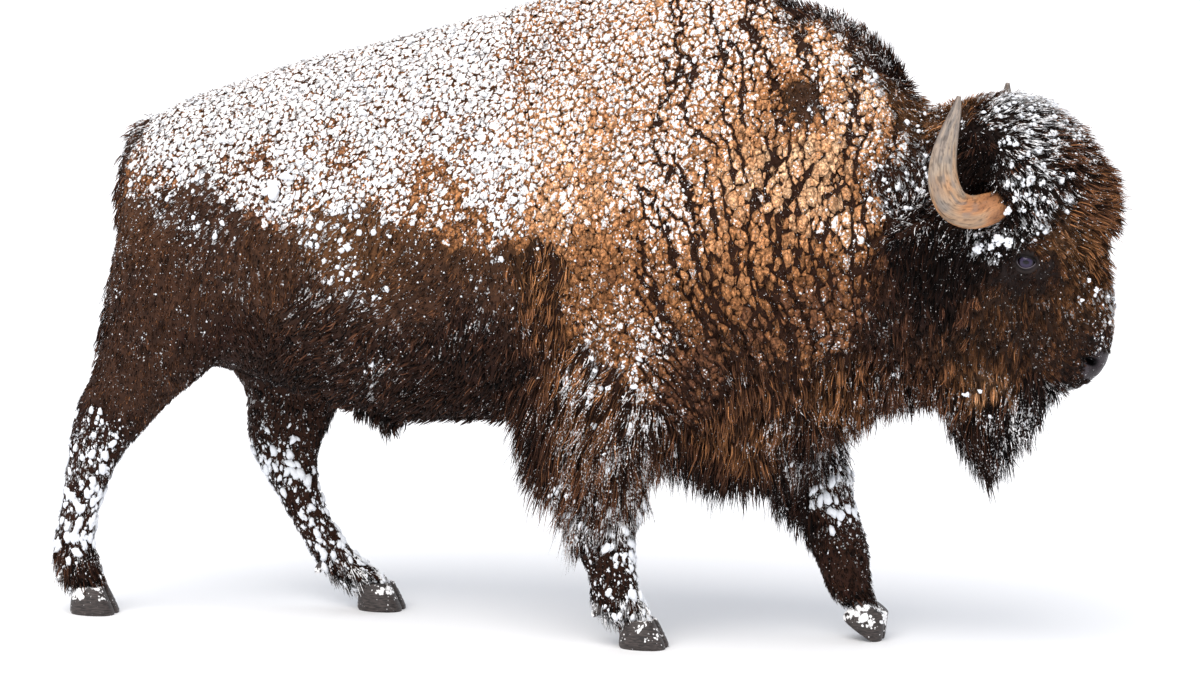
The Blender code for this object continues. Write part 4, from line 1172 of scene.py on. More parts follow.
# %% Hooves and dewclaws
HOOF_LENGTH, HOOF_WIDTH, HOOF_HEIGHT, CLEFT = 0.130, 0.118, 0.078, 0.007
TRACK, TOE_PRESS = 0.15, 0.010
SPUR_LENGTH, SPUR_RADIUS, SPUR_OUT = 0.042, 0.013, 0.026
SPUR_SWELL = (0, 0.45, 0.8, 0.93, 1.0), (0.9, 1.0, 0.78, 0.5, 0.25)  # along it, and share of the radius
CLAW_SIDES, SPUR_SIDES, SPUR_RINGS = 44, 28, 12
GROOVES_APART, GROOVE_HIGH = 0.009, 0.006  # metres, and a share of the hoof's length
FEET = {  # toe's x before centring, side, heel lift in degrees, dewclaws' x and z
    "fore_right": (0.238, -1, 0, 0.060, 0.116),
    "fore_left": (0.776, 1, 34, 0.676, 0.150),
    "hind_right": (-1.392, -1, 0, -1.530, 0.128),
    "hind_left": (-0.628, 1, 0, -0.858, 0.132),
}
CLAW_LEVELS = (  # height, heel, toe and breadth, as shares of the hoof's
    (0, 0.03, 1.00, 0.95), (0.15, 0.00, 0.99, 1.00), (0.60, 0.03, 0.86, 0.94), (1.00, 0.10, 0.74, 0.78),
)


def claw(toe_x, side, lift, away):
    """A claw's rings: along from heel to toe, across from the cleft to the round outside."""
    height, heel, toe, wide = (v[:, None] for v in through(CLAW_LEVELS, 7).T)
    turn = full_turn(CLAW_SIDES)[None, :]
    breadth = (HOOF_WIDTH - CLEFT) / 2
    ahead = (1 + np.cos(turn)) / 2
    grown = GROOVE_HIGH * np.sin(2 * np.pi * height * HOOF_HEIGHT / GROOVES_APART + 1.5 * ahead)
    grown = grown * smooth(0, 0.2, height)
    along = (heel + (toe + grown - heel) * ahead - 1) * HOOF_LENGTH
    bulge, flat = np.clip(np.sin(turn), 0, 1) ** 0.75, np.clip(-np.sin(turn), 0, 1) ** 0.4
    across = breadth * (0.20 + (wide + grown * 2 - 0.20) * bulge - 0.20 * flat)
    tall = height * HOOF_HEIGHT + 0 * along
    c, s = np.cos(np.radians(lift)), np.sin(np.radians(lift))
    x = toe_x + MID_X + c * along + s * tall
    z = np.maximum(-s * along + c * tall - (TOE_PRESS if lift else 0), 0)
    y = side * TRACK + away * (CLEFT / 2 + across)
    return np.stack((x, y, z), axis=-1)[:, ::away]


def dewclaw(x, z, side, away):
    """A short blunt cone that points down and back."""
    steps = np.linspace(0, 1, SPUR_RINGS)
    swell = np.interp(steps, *SPUR_SWELL)
    line = unit(np.array((-0.60, 0.12 * away, -0.79)))
    path = np.array((x + MID_X, side * TRACK + away * SPUR_OUT, z)) + np.outer(steps * SPUR_LENGTH, line)
    turn = full_turn(SPUR_SIDES)[None, :] * np.ones((SPUR_RINGS, 1))
    radius = SPUR_RADIUS * swell[:, None] * np.ones_like(turn)
    return tube_rings(path, radius, np.array((0.0, 1.0, 0.0)), turn)


# %% Hoof pieces
def joined(parts):
    """Several pieces' points and triangles as one."""
    starts = np.cumsum([0] + [len(points) for points, _ in parts[:-1]])
    return np.vstack([p for p, _ in parts]), np.vstack([f + start for (_, f), start in zip(parts, starts)])


def hoof_finish():
    """Dark hoof horn, scuffed dull, with growth lines round it and a dusting of painted snow."""
    finish, tree, shader = new_finish("scuffed_hoof_horn", Roughness=0.5, Specular_IOR_Level=0.45)
    place = add(tree, "TexCoord")
    drawn = add(tree, "Mapping", {"Scale": (1.0, 1.0, 5.0)}, {"Vector": (place, "Object")})
    lines = add(tree, "TexNoise", {"Scale": 60.0, "Detail": 5.0}, {"Vector": (drawn, "Vector")})
    tone = add(tree, "ValToRGB", None, {"Fac": (lines, "Fac")})
    for stop, position, shade in zip(tone.color_ramp.elements, (0.35, 0.68), ("#1f1a19", "#4c4340")):
        stop.position, stop.color = position, rgba(shade)
    colour = add(tree, "Attribute", attribute_name="coat")
    snowy = snow_over(tree, place, colour, (tone, "Color"), 90.0)
    dress(tree, shader, snowy, (lines, "Fac"), 0.4, 0.001)
    return finish


HOOF_HORN = hoof_finish()
claws = [claw(x, side, lift, away) for x, side, lift, _, _ in FEET.values() for away in BOTH_SIDES]
spurs = [dewclaw(x, z, side, away) for _, side, _, x, z in FEET.values() for away in BOTH_SIDES]
for name, parts, kind in (("claws", claws, "hoof_"), ("spurs", spurs, "dewclaw_")):
    points, faces = joined([closed_tube(rings) for rings in parts])
    dust = 0.60 * smooth(0.015, 0.06, points[:, 2]) * smooth(0.36, 0.62, ripple(points, 0.03, 501))
    colours = np.column_stack((np.ones((len(points), 3)), dust))
    made = new_piece(name, points, faces, HOOF_HORN, colours)
    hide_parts(*[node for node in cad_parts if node.startswith(kind)])
    print(name, points.min(0).round(3), points.max(0).round(3))

# %% [markdown]
# ## Tufts
# Each tuft is a closed lock of a few triangles. A short one has a root under the hide's surface, two sides
# and a tip. A long one has two rings of three points between root and tip. A tuft starts out along the lie
# of the coat, rises by its stand, droops by its hang, and leans towards its clump's middle, which opens the
# dark lines between clumps.

# %% Where tufts grow
SHORT_LOCK = (), np.array([(0, 1, 2), (1, 3, 2), (0, 2, 3), (0, 3, 1)])
LONG_LOCK = (0.33, 0.70), np.array([  # the rings' places along the lock, and the triangles
    (0, 3, 2), (0, 2, 1), (0, 1, 3), (1, 2, 5), (1, 5, 4), (2, 3, 6), (2, 6, 5), (3, 1, 4), (3, 4, 6),
    (7, 5, 6), (7, 4, 5), (7, 6, 4),
])
LONG_FROM = 34.0  # mm, from which a tuft is a long lock
COVER = 1.74  # how many tufts lie over each place
STRAY_SHARE = 0.22  # thin hairs that stand out, for each tuft of the long coats
STRAY_LONG, STRAY_THIN = 1.25, 0.45  # a stray's length and width, as shares of a tuft's


def sample_hide(density):
    """Random places on the hide, with that many per square metre on each face: face and corner shares."""
    a, b, c = place[hide_faces].transpose(1, 0, 2)
    area = np.linalg.norm(np.cross(b - a, c - a), axis=1) / 2
    wanted = area * density
    total = int(wanted.sum())
    chosen = rng.choice(len(area), size=total, p=wanted / wanted.sum())
    u, v = rng.random((2, total))
    flip = u + v > 1
    u, v = np.where(flip, 1 - u, u), np.where(flip, 1 - v, v)
    return chosen, np.column_stack((1 - u - v, u, v))


def at_samples(values, chosen, shares):
    """A value known at the hide's points, at the sampled places."""
    picked = values[hide_faces[chosen]]
    if picked.ndim == 3:
        return (picked * shares[:, :, None]).sum(1)
    return (picked * shares).sum(1)


face_coat = {name: values[hide_faces].mean(1) for name, values in coat.items()}
tufts_per_m2 = COVER * TUFT_SHARE * face_coat["cover"] / (face_coat["length"] * face_coat["width"]) * 1e6
stray_per_m2 = tufts_per_m2 * STRAY_SHARE * smooth(45, 65, face_coat["length"])
print("tufts", int(tufts_per_m2.mean()), "per square metre")


# %% Directions on the hide
def along_way(vectors, way):
    """The part of each vector that lies along a direction."""
    return (vectors * way).sum(1, keepdims=True) * way


def lie_of(values):
    """The direction of the lie, which the table gives in the side view."""
    return np.column_stack((values["lie_x"], np.zeros(len(values["lie_x"])), values["lie_z"]))


def axes_on_hide(lie, normal):
    """Directions along the lie and sideways to it, both along the hide."""
    along = unit(lie - along_way(lie, normal))
    return along, np.cross(along, normal)


def clump_kind(values):
    """The number of the kind of clump that has the largest share at each point."""
    return np.argmax(np.column_stack([values[name] for name in CLUMPS]), axis=1)


# %% How a tuft lies
LIE_UNEVEN = 0.9  # how strongly the lie swirls
ROOT_DEEP = 0.002  # metres that a lock's root lies under the hide
SHORT_WIDEST = 0.42  # where along a short lock its sides are
HANG_SHARE = 0.55  # how far a tip droops, as a share of the lock's length, at full hang


def grow(density, stray):
    """Everything that shapes and colours the tufts, one row each."""
    chosen, shares = sample_hide(density)
    root = at_samples(place, chosen, shares)
    normal = unit(at_samples(hide_normals, chosen, shares))
    t = {name: at_samples(values, chosen, shares) for name, values in coat.items()}
    count = len(root)
    swirl = [ripple(root, 0.07, 60 + k) + 0.6 * ripple(root, 0.02, 70 + k) - 0.8 for k in range(3)]
    lie = lie_of(t) + np.column_stack(swirl) * LIE_UNEVEN + rng.normal(0, 0.13, (count, 3))
    along, sideways = axes_on_hide(lie, normal)

    kind = clump_kind(t)
    middle, border, luck = root.copy(), np.zeros(count), np.zeros(count)
    for index, boxes in enumerate(CLUMPS.values()):
        mine = kind == index
        middle[mine], border[mine], luck[mine] = cells(root[mine], boxes, 100 * index)
    _, streak_edge, streak_luck = cells(root, STREAKS, 500)
    # Lighter and darker locks of hair, with painted shade along the borders between them.
    light = (0.34 + 1.32 * streak_luck) * (1 - 0.5 * smooth(0.30, 0.05, streak_edge))
    fold, _ = folds_at(root, t)
    edge = np.maximum(smooth(0.30, 0.08, border), fold)

    shorter = (0.25 + 0.20 * t["pads"]) * edge
    length = t["length"] / 1000 * rng.uniform(0.7, 1.2, count) * (1 - shorter) * (0.72 + 0.5 * luck)
    width = t["width"] / 1000 * rng.uniform(0.75, 1.25, count)
    lean_out = np.arcsin(np.clip((lie * normal).sum(1) / np.linalg.norm(lie, axis=1), 0, 0.98))
    stand = np.radians(t["stand"] + rng.normal(0, 4, count) - 5 * edge)
    stand = stand + smooth(0.15, 0.5, t["hang"]) * np.maximum(lean_out - stand, 0)
    mound = t["mound"] / 1000 * smooth(0.05, 0.6, border) * (1 - fold)
    pull = t["pull"][:, None] * (along_way(middle - root, sideways) + 0.6 * along_way(middle - root, along))
    if stray:
        length, width = length * STRAY_LONG, width * STRAY_THIN
        stand = stand + np.radians(rng.uniform(3, 16, count))
        pull = pull * 0.3
    limit = 0.8 * length / np.maximum(np.linalg.norm(pull, axis=1), 1e-6)
    pull = pull * np.minimum(limit, 1)[:, None] + mound[:, None] * normal * (1 - 0.6 * t["pads"])[:, None]
    root = root + (0.75 * t["pads"] * mound)[:, None] * normal
    tufts = dict(
        root=root, normal=normal, along=along, sideways=sideways, pull=pull, length=length, width=width,
        stand=stand, edge=edge, luck=luck, light=light, curl=rng.normal(0, 0.10, count),
        roll=rng.normal(0, 0.5, count), coat=t,
    )
    thinned = (0.25 + 0.35 * t["pads"]) * edge
    return picked(tufts, rng.random(count) > thinned + 0.5 * fold * smooth(30, 20, t["length"]))


# %% Choosing among the tufts
def picked(tufts, keep):
    """The tufts that are chosen by a mask, or by their numbers."""
    return {name: picked(rows, keep) if name == "coat" else rows[keep] for name, rows in tufts.items()}


# %% Points of a lock
def lock_points(tufts, rings):
    """Points of each lock, as tufts x points x 3: root, sides or rings of three, and tip. The middle line
    runs out by length x t, swings sideways by curl x sin(pi t), and droops by hang x t squared."""
    root, normal, along, sideways, pull, length, width, stand, curl, roll = (
        tufts[name].reshape(len(tufts["root"]), -1) for name in
        ("root", "normal", "along", "sideways", "pull", "length", "width", "stand", "curl", "roll")
    )
    hang = tufts["coat"]["hang"][:, None] * length * HANG_SHARE

    def middle(t):
        """The middle line at t, which runs from 0 at the root to 1 at the tip."""
        rise = stand + np.radians(12) * (1 - t)
        out = length * t * (np.cos(rise) * along + np.sin(rise) * normal)
        bend = length * curl * np.sin(np.pi * t) * sideways
        return root + out + pull * t**1.3 + bend - hang * t**2 * np.array((0, 0, 1.0))

    foot, tip = root - ROOT_DEEP * normal, middle(1.0)
    side = np.cos(roll) * sideways + np.sin(roll) * normal
    if not rings:
        low = foot + (tip - foot) * SHORT_WIDEST - 0.22 * width * (np.cos(roll) * normal)
        half = width / 2 * side
        return np.stack((foot, low - half, low + half, tip), axis=1)
    up = np.cos(roll) * normal - np.sin(roll) * sideways
    found = [foot]
    for step, t in enumerate(rings):
        half = width / 2 * (1 - 0.2 * step)
        here = middle(t)
        found += [here - side * half, here + up * half * 0.9, here + side * half]
    return np.stack(found + [tip], axis=1)


# %% [markdown]
# ## Wool pads
# On the back, hump, shoulder and neck the wool mats to small pads, with cracks between them that are
# darkened by painted shade. Each pad is a low dome over one cell of the clumps' pattern: seven sides, two
# inner rings and a top. It reaches in each direction to its cell's border, or to the edge of a fold that
# comes first.

# %% What a pad is made of
PAD_SIDES = 7
PAD_RINGS = ((1.0, -0.30), (0.80, 0.55), (0.42, 0.95))  # share of the cell's reach, share of the mound
# Painted light and shade of each dome: lighter on its top, darker towards its border, and darkest on the
# underside.
PAD_LIGHT = (0.80, 0.96, 1.16, 1.25, 0.1)  # at the rings, the top and the underside
PAD_SNOW = (0.36, 0.76, 1.0, 1.0, -0.5)
PAD_ROWS = (*[PAD_SIDES] * len(PAD_RINGS), 1, 1)  # points in each of these
PAD_TOP = len(PAD_RINGS) * PAD_SIDES
PAD_FACES = np.vstack((  # the rings from the border inwards, then the top and the underside
    grid_triangles(len(PAD_RINGS), PAD_SIDES)[:, ::-1],
    fan(PAD_TOP - PAD_SIDES, PAD_SIDES, PAD_TOP)[:, [1, 0, 2]], fan(0, PAD_SIDES, PAD_TOP + 1),
))

# %% Cells that hold a pad
SAMPLES_PER_M2 = 120000
SMALL_CELL = 60e-6  # square metres of hide, below which a cell gets no pad


def gathered_cells():
    """The cells that the hide passes through where the wool mats: for each its clumps' name, box of the
    lattice, and the mean place, normal and values of the hide inside it."""
    chosen, shares = sample_hide(SAMPLES_PER_M2 * (face_coat["pads"] > 0.5))
    root, normal = (at_samples(rows, chosen, shares) for rows in (place, hide_normals))
    values = np.column_stack([at_samples(coat[name], chosen, shares) for name in MARKING_FIELDS])
    kind = clump_kind(dict(zip(MARKING_FIELDS, values.T)))
    found = []
    for index, (name, boxes) in enumerate(CLUMPS.items()):
        if name != "lock":
            mine = kind == index
            seed, _, _ = cells(root[mine], boxes, 100 * index)
            box = np.floor(seed @ boxes.T + 1e-9).astype(np.int64)
            numbers = box @ np.array((1, 4096, 4096**2))
            _, first, cell = np.unique(numbers, return_index=True, return_inverse=True)
            number = np.bincount(cell)
            rows = np.column_stack((root[mine], normal[mine], values[mine])).T
            mean = np.column_stack([np.bincount(cell, row) / number for row in rows])
            keep = number > SAMPLES_PER_M2 * SMALL_CELL
            found.append((name, index, box[first][keep], mean[keep]))
    return found


# %% How far a pad reaches
MOST_REACH, LEAST_REACH, FOLD_ROOM = 0.034, 0.0015, 0.030
PROBE = 0.004  # step used to see how fast the folds are counted in a direction


def room_in_cell(centre, heading, boxes, box, salt):
    """How far a pad may reach in each direction along the hide before it meets its cell's border: the place
    where the distance to its own seed is the same as to a neighbour's."""
    own, own_weight = seeds_in(box, salt), seed_weight(box, salt)
    here, step = centre @ boxes.T, heading @ boxes.T
    reach = np.full(heading.shape[:2], MOST_REACH)
    for shift in np.ndindex(3, 3, 3):
        if shift != (1, 1, 1):
            beside = box + np.array(shift) - 1
            other = seeds_in(beside, salt)
            ahead_of = 2 * (step * (other - own)[:, None]).sum(2)
            gap = ((here - other) ** 2).sum(1) - ((here - own) ** 2).sum(1)
            gap = (gap - seed_weight(beside, salt) + own_weight)[:, None]
            border = np.where(ahead_of > 1e-6, gap / np.maximum(ahead_of, 1e-6), 9.0)
            reach = np.minimum(reach, np.maximum(border, LEAST_REACH))
    return reach


def room_to_fold(centre, heading, folds):
    """How far a pad may reach in each direction before it meets the edge of an open fold."""
    count, sides, _ = heading.shape
    room = np.full((count, sides), FOLD_ROOM)
    front = smooth(*FOLDS_FROM, centre[:, 0])
    for salt, (_, wide, _, _, _) in enumerate(FOLDS):
        start, down, left = fold_count(centre, salt)
        probes = (centre[:, None] + PROBE * heading).reshape(-1, 3)
        beside = fold_count(probes, salt)[0].reshape(count, sides)
        change = (beside - start[:, None]) / PROBE
        line = np.where(change > 0, np.ceil(start)[:, None], np.floor(start)[:, None])
        gap = (line - start[:, None]) / np.where(np.abs(change) < 1e-3, 1e-3, change)
        there = fold_there(line.ravel(), np.repeat(down, sides), np.repeat(left, sides), salt)
        open_fold = there.reshape(count, sides) * (folds * front)[:, None] > 0.3
        closest = np.minimum(room, np.maximum(gap - 0.8 * wide / 1000, LEAST_REACH))
        room = np.where(open_fold, closest, room)
    return room


# %% Shapes of the pads
def pad_shapes(index, boxes, box, mean):
    """Points of the pads and how deep in a crease each lies, both as pads x points, and the pads' rows."""
    values = dict(zip(MARKING_FIELDS, mean[:, 6:].T))
    apart_from_folds = folds_at(mean[:, :3], values)[0] < 0.5
    box, mean = box[apart_from_folds], mean[apart_from_folds]
    centre, normal, values = mean[:, :3], unit(mean[:, 3:6]), dict(zip(MARKING_FIELDS, mean[:, 6:].T))
    count = len(centre)
    along, sideways = axes_on_hide(lie_of(values), normal)
    turn = np.arange(PAD_SIDES) * 2 * np.pi / PAD_SIDES + rng.uniform(-0.2, 0.2, (count, 1))
    heading = np.cos(turn)[..., None] * along[:, None] + np.sin(turn)[..., None] * sideways[:, None]
    room = room_to_fold(centre, heading, values["folds"])
    reach = np.minimum(room_in_cell(centre, heading, boxes, box, 100 * index), room)
    tall = values["mound"] / 1000 * rng.uniform(0.55, 1.35, count) * smooth(0.5, 0.62, values["pads"])
    folds = np.repeat(values["folds"], PAD_SIDES)
    rings, creases = [], []
    for share, height in PAD_RINGS:
        outer_ring = share == 1
        spread = rng.uniform(*((1.12, 1.38) if outer_ring else (0.62, 1.25)), reach.shape)
        spot = centre[:, None] + np.minimum(reach * share * spread, room)[..., None] * heading
        crease = 0.6 * folds_at(spot.reshape(-1, 3), dict(folds=folds))[0]
        if outer_ring:
            # A crack sinks part of the border, and there the pad's colour takes painted shade.
            crack = 0.05 + 0.75 * smooth(0.46, 0.66, ripple(spot.reshape(-1, 3), 0.030, 95))
            crack = crack * (0.30 + 0.70 * np.abs(np.sin(turn)).ravel())
            crease = np.maximum(crease, crack * (1 - 0.7 * folds))
            bumpy = 0.50 + 0.25 * np.abs(np.cos(turn))
        else:
            bumpy = height * rng.uniform(0.6, 1.35, (count, PAD_SIDES))
        crease = crease.reshape(count, PAD_SIDES)
        rings.append(spot + (tall[:, None] * (bumpy - 0.85 * crease))[..., None] * normal[:, None])
        creases.append(crease)
    crease, _ = folds_at(centre, values)
    rings.append((centre + (tall * (1.02 - 0.7 * crease))[:, None] * normal)[:, None])
    rings.append((centre - 0.004 * normal)[:, None])
    creases += [crease[:, None], np.ones((count, 1))]
    pads = dict(root=centre, normal=normal, edge=0.3 * crease, coat=values)
    return np.concatenate(rings, axis=1), np.concatenate(creases, axis=1), pads


# %% [markdown]
# ## Colour, parts and bake map
# The tufts of each part of the body are joined into one mesh, and every piece has a bake map on which each
# tuft is a small patch at its root's place. The map unrolls the hide: along the trunk and round it, and for
# the head, legs and tail, down them and round them.

# %% Parts of the body
LEG_LINES = {  # z, x and y of the middle of each leg, from the top down
    "foreleg_right": ((0.62, 0.10, -0.18), (0.39, 0.10, -0.15), (0.20, 0.15, -0.15), (0.04, 0.20, -0.15)),
    "foreleg_left": ((0.58, 0.59, 0.18), (0.36, 0.64, 0.15), (0.17, 0.74, 0.15), (0.04, 0.80, 0.15)),
    "hindleg_right": ((0.62, -1.29, -0.15), (0.45, -1.38, -0.15), (0.19, -1.45, -0.15), (0.04, -1.42, -0.15)),
    "hindleg_left": ((0.61, -0.89, 0.15), (0.44, -0.92, 0.15), (0.20, -0.81, 0.15), (0.04, -0.67, 0.15)),
}
LEG_TOP, LEG_REACH = 0.60, 0.15
TAIL_BEHIND, TAIL_HALF, BEARD_BELOW = -1.27, 0.06, 0.72  # x, y and z
HEAD_FROM = 0.97  # x
TRUNK_FROM = {"neck": 0.62, "shoulder": 0.22, "hump": -0.18, "barrel": -0.93}  # x, and behind them the rump
PATCH = 0.0015  # half the size of a tuft's patch on the bake map
HEAD_AXIS_X, TRUNK_AXIS_Z = 1.16, 1.05  # the lines that the head and the trunk are unrolled about


def leg_middle(leg, z):
    """x and y of the middle of a leg at each height."""
    rows = np.array(LEG_LINES[leg])[::-1]
    return np.column_stack([np.interp(z, rows[:, 0], rows[:, k]) for k in (1, 2)])


def part_names(points):
    """Which part of the coat each point belongs to."""
    x, y, z = facing_ahead(points).T
    starts = {"head": HEAD_FROM, **TRUNK_FROM}
    trunk = np.select([x > start for start in starts.values()], list(starts), "rump")
    names = np.char.add(np.char.add(trunk, "_"), np.where(y > 0, "left", "right"))
    names = np.where((x < TAIL_BEHIND) & (np.abs(y) < TAIL_HALF), "tail", names)
    names = np.where((x > HEAD_FROM) & (z < BEARD_BELOW), "beard", names)
    for leg in LEG_LINES:
        gap = np.linalg.norm(points[:, :2] - leg_middle(leg, z), axis=1)
        names = np.where((z < LEG_TOP) & (gap < LEG_REACH), leg, names)
    return names


# %% Bake map
def inside_map(flat):
    """Each column stretched to lie just inside 0 to 1."""
    return (flat - flat.min(0)) / (flat.max(0) - flat.min(0)) * 0.992 + 0.004


def unroll(name, points):
    """A part's hide laid flat: two numbers from 0 to 1 for each point."""
    x, y, z = facing_ahead(points).T
    if name in LEG_LINES:
        middle = leg_middle(name, z)
        flat = (np.arctan2(y - middle[:, 1], x - middle[:, 0]), z)
    elif name in ("tail", "beard"):
        flat = (np.arctan2(y, x - (x.min() + x.max()) / 2), z)
    elif name.startswith("head"):
        flat = (np.arctan2(np.abs(y), x - HEAD_AXIS_X), z)
    else:
        flat = (x, np.arctan2(z - TRUNK_AXIS_Z, np.abs(y)))
    return inside_map(np.column_stack(flat))


def numbered(count, per, pattern):
    """The triangles of one lock or ball, for each of several with that many points, numbered on."""
    return (np.arange(count)[:, None, None] * per + pattern).reshape(-1, 3)


def patch_shape(per):
    """Where the points of one lock or pad stand on its patch of the bake map: a pad's rings lie one in the
    other, and a lock's points run across from root to tip."""
    if per == PAD_TOP + 2:
        ring, turn = np.divmod(np.arange(PAD_TOP), PAD_SIDES)
        turn = turn * 2 * np.pi / PAD_SIDES
        rings = np.column_stack((np.cos(turn), np.sin(turn))) * (1 - 0.28 * ring)[:, None]
        return np.vstack((rings, np.zeros((2, 2))))
    spread = np.column_stack((np.linspace(-1, 1, per), np.sin(np.arange(per) * 2.4)))
    spread[0], spread[-1] = (0, -1), (0, 1)
    return spread


def join_locks(batches):
    """Joins batches of locks, each with its own number of points, to one set of arrays."""
    points, faces, colours, maps, start = [], [], [], [], 0
    for corner_points, pattern, shades, flat in batches:
        count, per, _ = corner_points.shape
        points.append(corner_points.reshape(-1, 3))
        faces.append(numbered(count, per, pattern) + start)
        colours.append(shades.reshape(-1, 4))
        maps.append((flat[:, None, :] + patch_shape(per) * PATCH)[:, pattern].reshape(-1, 2))
        start += count * per
    return [np.concatenate(rows) for rows in (points, faces, colours, maps)]


# %% Colour and snow of the coat
SNOW_BROKEN = (0.45, 1.25)
# Painted shade: the low light at a lock's root stands for the shade near the hide.
SHORT_SHADES = ((0.30, 0.2), (0.85, 0.9), (0.85, 0.9), (1.35, 1.0))  # root, sides and tip: light and snow
LONG_ROOT, LONG_TIP = (0.25, 0.0), (1.35, 1.0)  # the same at a long lock's ends


def snow_on(tufts):
    """How snowy each tuft is: snow settles clump by clump where the region's share is above the clump's
    luck, more on what faces up, and less in the creases."""
    snow, root = tufts["coat"]["snow"], tufts["root"]
    patch = waves(root, (0.7, 0.06, 81), (0.5, 0.16, 83), (0.4, 0.012, 82))
    share = snow * (1 + 0.30 * tufts["normal"][:, 2]) - 0.30 * tufts["edge"]
    level = 0.5 + 0.50 * (tufts["luck"] - 0.5) + 0.2 * (rng.random(len(root)) - 0.5) + patch
    return np.clip(0.5 + 1.5 * (share - level), 0, 1) * smooth(0.0, 0.08, snow)


def lock_colours(tufts, rings):
    """Colours of each lock's points: dark at the root as painted shade near the hide, lighter to the tip,
    darker at clump borders and in folds as painted shade, and white where snow lies. The snow is broken:
    it changes from ring to ring, and on a short lock from point to point."""
    t, snow, count = tufts["coat"], tufts["snow"], len(tufts["snow"])
    broken = rng.uniform(*SNOW_BROKEN, count)
    # Painted shade at clump borders and in folds: lower tone and less light there.
    tone = t["tone"] + rng.normal(0, 0.07, count) - 0.12 * tufts["edge"]
    lit = tufts["light"] * rng.uniform(0.75, 1.25, count) * (1 - 0.7 * tufts["edge"])
    base = coat_colour(tone) * lit[:, None]
    most = 1 - 0.40 * smooth(34, 55, t["length"])
    steps = SHORT_SHADES
    if rings:
        on_rings = [(0.70 + 0.5 * r, 0.75 + 0.25 * r) for r in rings for _ in range(3)]
        steps = [LONG_ROOT, *on_rings, LONG_TIP]
    found = []
    for step, (light, white) in enumerate(steps):
        if step % 3 == 1 or not rings:
            broken = rng.uniform(*SNOW_BROKEN, count)
        found.append(np.column_stack((base * light, snow * white * broken * most)))
    return np.stack(found, axis=1)


# %% All pads
def grown_pads():
    """All pads: their points, colours with snow, roots and parts of the body."""
    found = []
    for name, index, box, mean in gathered_cells():
        points, crease, pads = pad_shapes(index, CLUMPS[name], box, mean)
        count, per, _ = points.shape
        t = pads["coat"]
        pads["luck"] = cells(pads["root"], CLUMPS[name], 100 * index)[2]
        amount = snow_on(pads)
        # Painted shade in the creases and cracks: lower tone and less light there.
        tone = (t["tone"] + rng.normal(0, 0.05, count))[:, None] - 0.22 * crease
        tone = tone + rng.normal(0, 0.03, tone.shape)
        light = np.repeat(PAD_LIGHT, PAD_ROWS) * rng.uniform(0.8, 1.2, (count, 1)) * (1 - 0.82 * crease)
        base = coat_colour(tone.ravel()).reshape(count, per, 3) * light[..., None]
        white = np.repeat(PAD_SNOW, PAD_ROWS) + 0.45 * (rng.random((count, per)) - 0.5)
        held = 0.95 - 0.33 * smooth(0.3, 0.6, t["folds"])
        snow = (held * amount)[:, None] * white - 0.6 * crease
        found.append((points, np.concatenate((base, snow[..., None]), axis=2), pads["root"]))
    points, colours, root = (np.concatenate(rows) for rows in zip(*found))
    return points, colours, root, part_names(root)


# %% Grow the coat
FEWEST_PADS = 200  # a part with fewer has none
COAT_GLOSS = dict(Specular_IOR_Level=0.08, Sheen_Weight=0.01, Sheen_Roughness=0.5)


def hair_finish():
    """Dry guard hair: rough, with a faint sheen, its grain about a hair's clump of 3 mm."""
    return coat_finish("winter_guard_hair", 330.0, 0.8, 150.0, Roughness=0.66, **COAT_GLOSS)


def wool_finish():
    """Wool matted by weather: dull, in curls of about 8 mm, with painted light on their tops and painted
    shade between them.
    """
    return coat_finish("matted_winter_wool", 330.0, 1.0, 115.0, 125.0, Roughness=0.8, **COAT_GLOSS)


WOOL, HAIR = wool_finish(), hair_finish()
populations = [grow(tufts_per_m2, False), grow(stray_per_m2, True)]
for tufts in populations:
    tufts["snow"] = snow_on(tufts)
    tufts["part"] = part_names(tufts["root"])
pad_points, pad_colours, pad_roots, pad_parts = grown_pads()
print(len(pad_points), "pads,", len(pad_points) * len(PAD_FACES), "triangles")
total = 0
for part in sorted(set(populations[0]["part"])):
    woolly = pad_parts == part
    padded, batches, used = [], [], 0
    if woolly.sum() > FEWEST_PADS:
        padded = [(pad_points[woolly], PAD_FACES, pad_colours[woolly], unroll(part, pad_roots[woolly]))]
    flat = unroll(part, np.vstack([tufts["root"][tufts["part"] == part] for tufts in populations]))
    for tufts in populations:
        mine = picked(tufts, tufts["part"] == part)
        spots = flat[used : used + len(mine["root"])]
        used += len(spots)
        long = mine["length"] > LONG_FROM / 1000
        for (rings, pattern), chosen in ((SHORT_LOCK, ~long), (LONG_LOCK, long)):
            if chosen.any():
                some = picked(mine, chosen)
                shades = lock_colours(some, rings)
                batches.append((lock_points(some, rings), pattern, shades, spots[chosen]))
    for kind, some, finish in (("wool_", padded, WOOL), ("coat_", batches, HAIR)):
        if some:
            points, faces, colours, maps = join_locks(some)
            new_piece(kind + part, points, faces, finish, colours, maps)
            total += len(faces)
            print(kind + part, len(faces), "triangles")
print("coat:", total, "triangles")

# %% [markdown]
# ## Snow
# Dry snow sits on the clumps as small clots, as crumbs and in a few lumps. A clot is a 20-sided ball and a
# crumb an octahedron, both pressed flat against the coat and dented at random, where the tufts are snowy. A
# lump is a heap of rounder balls, and lies at a place that a table gives.


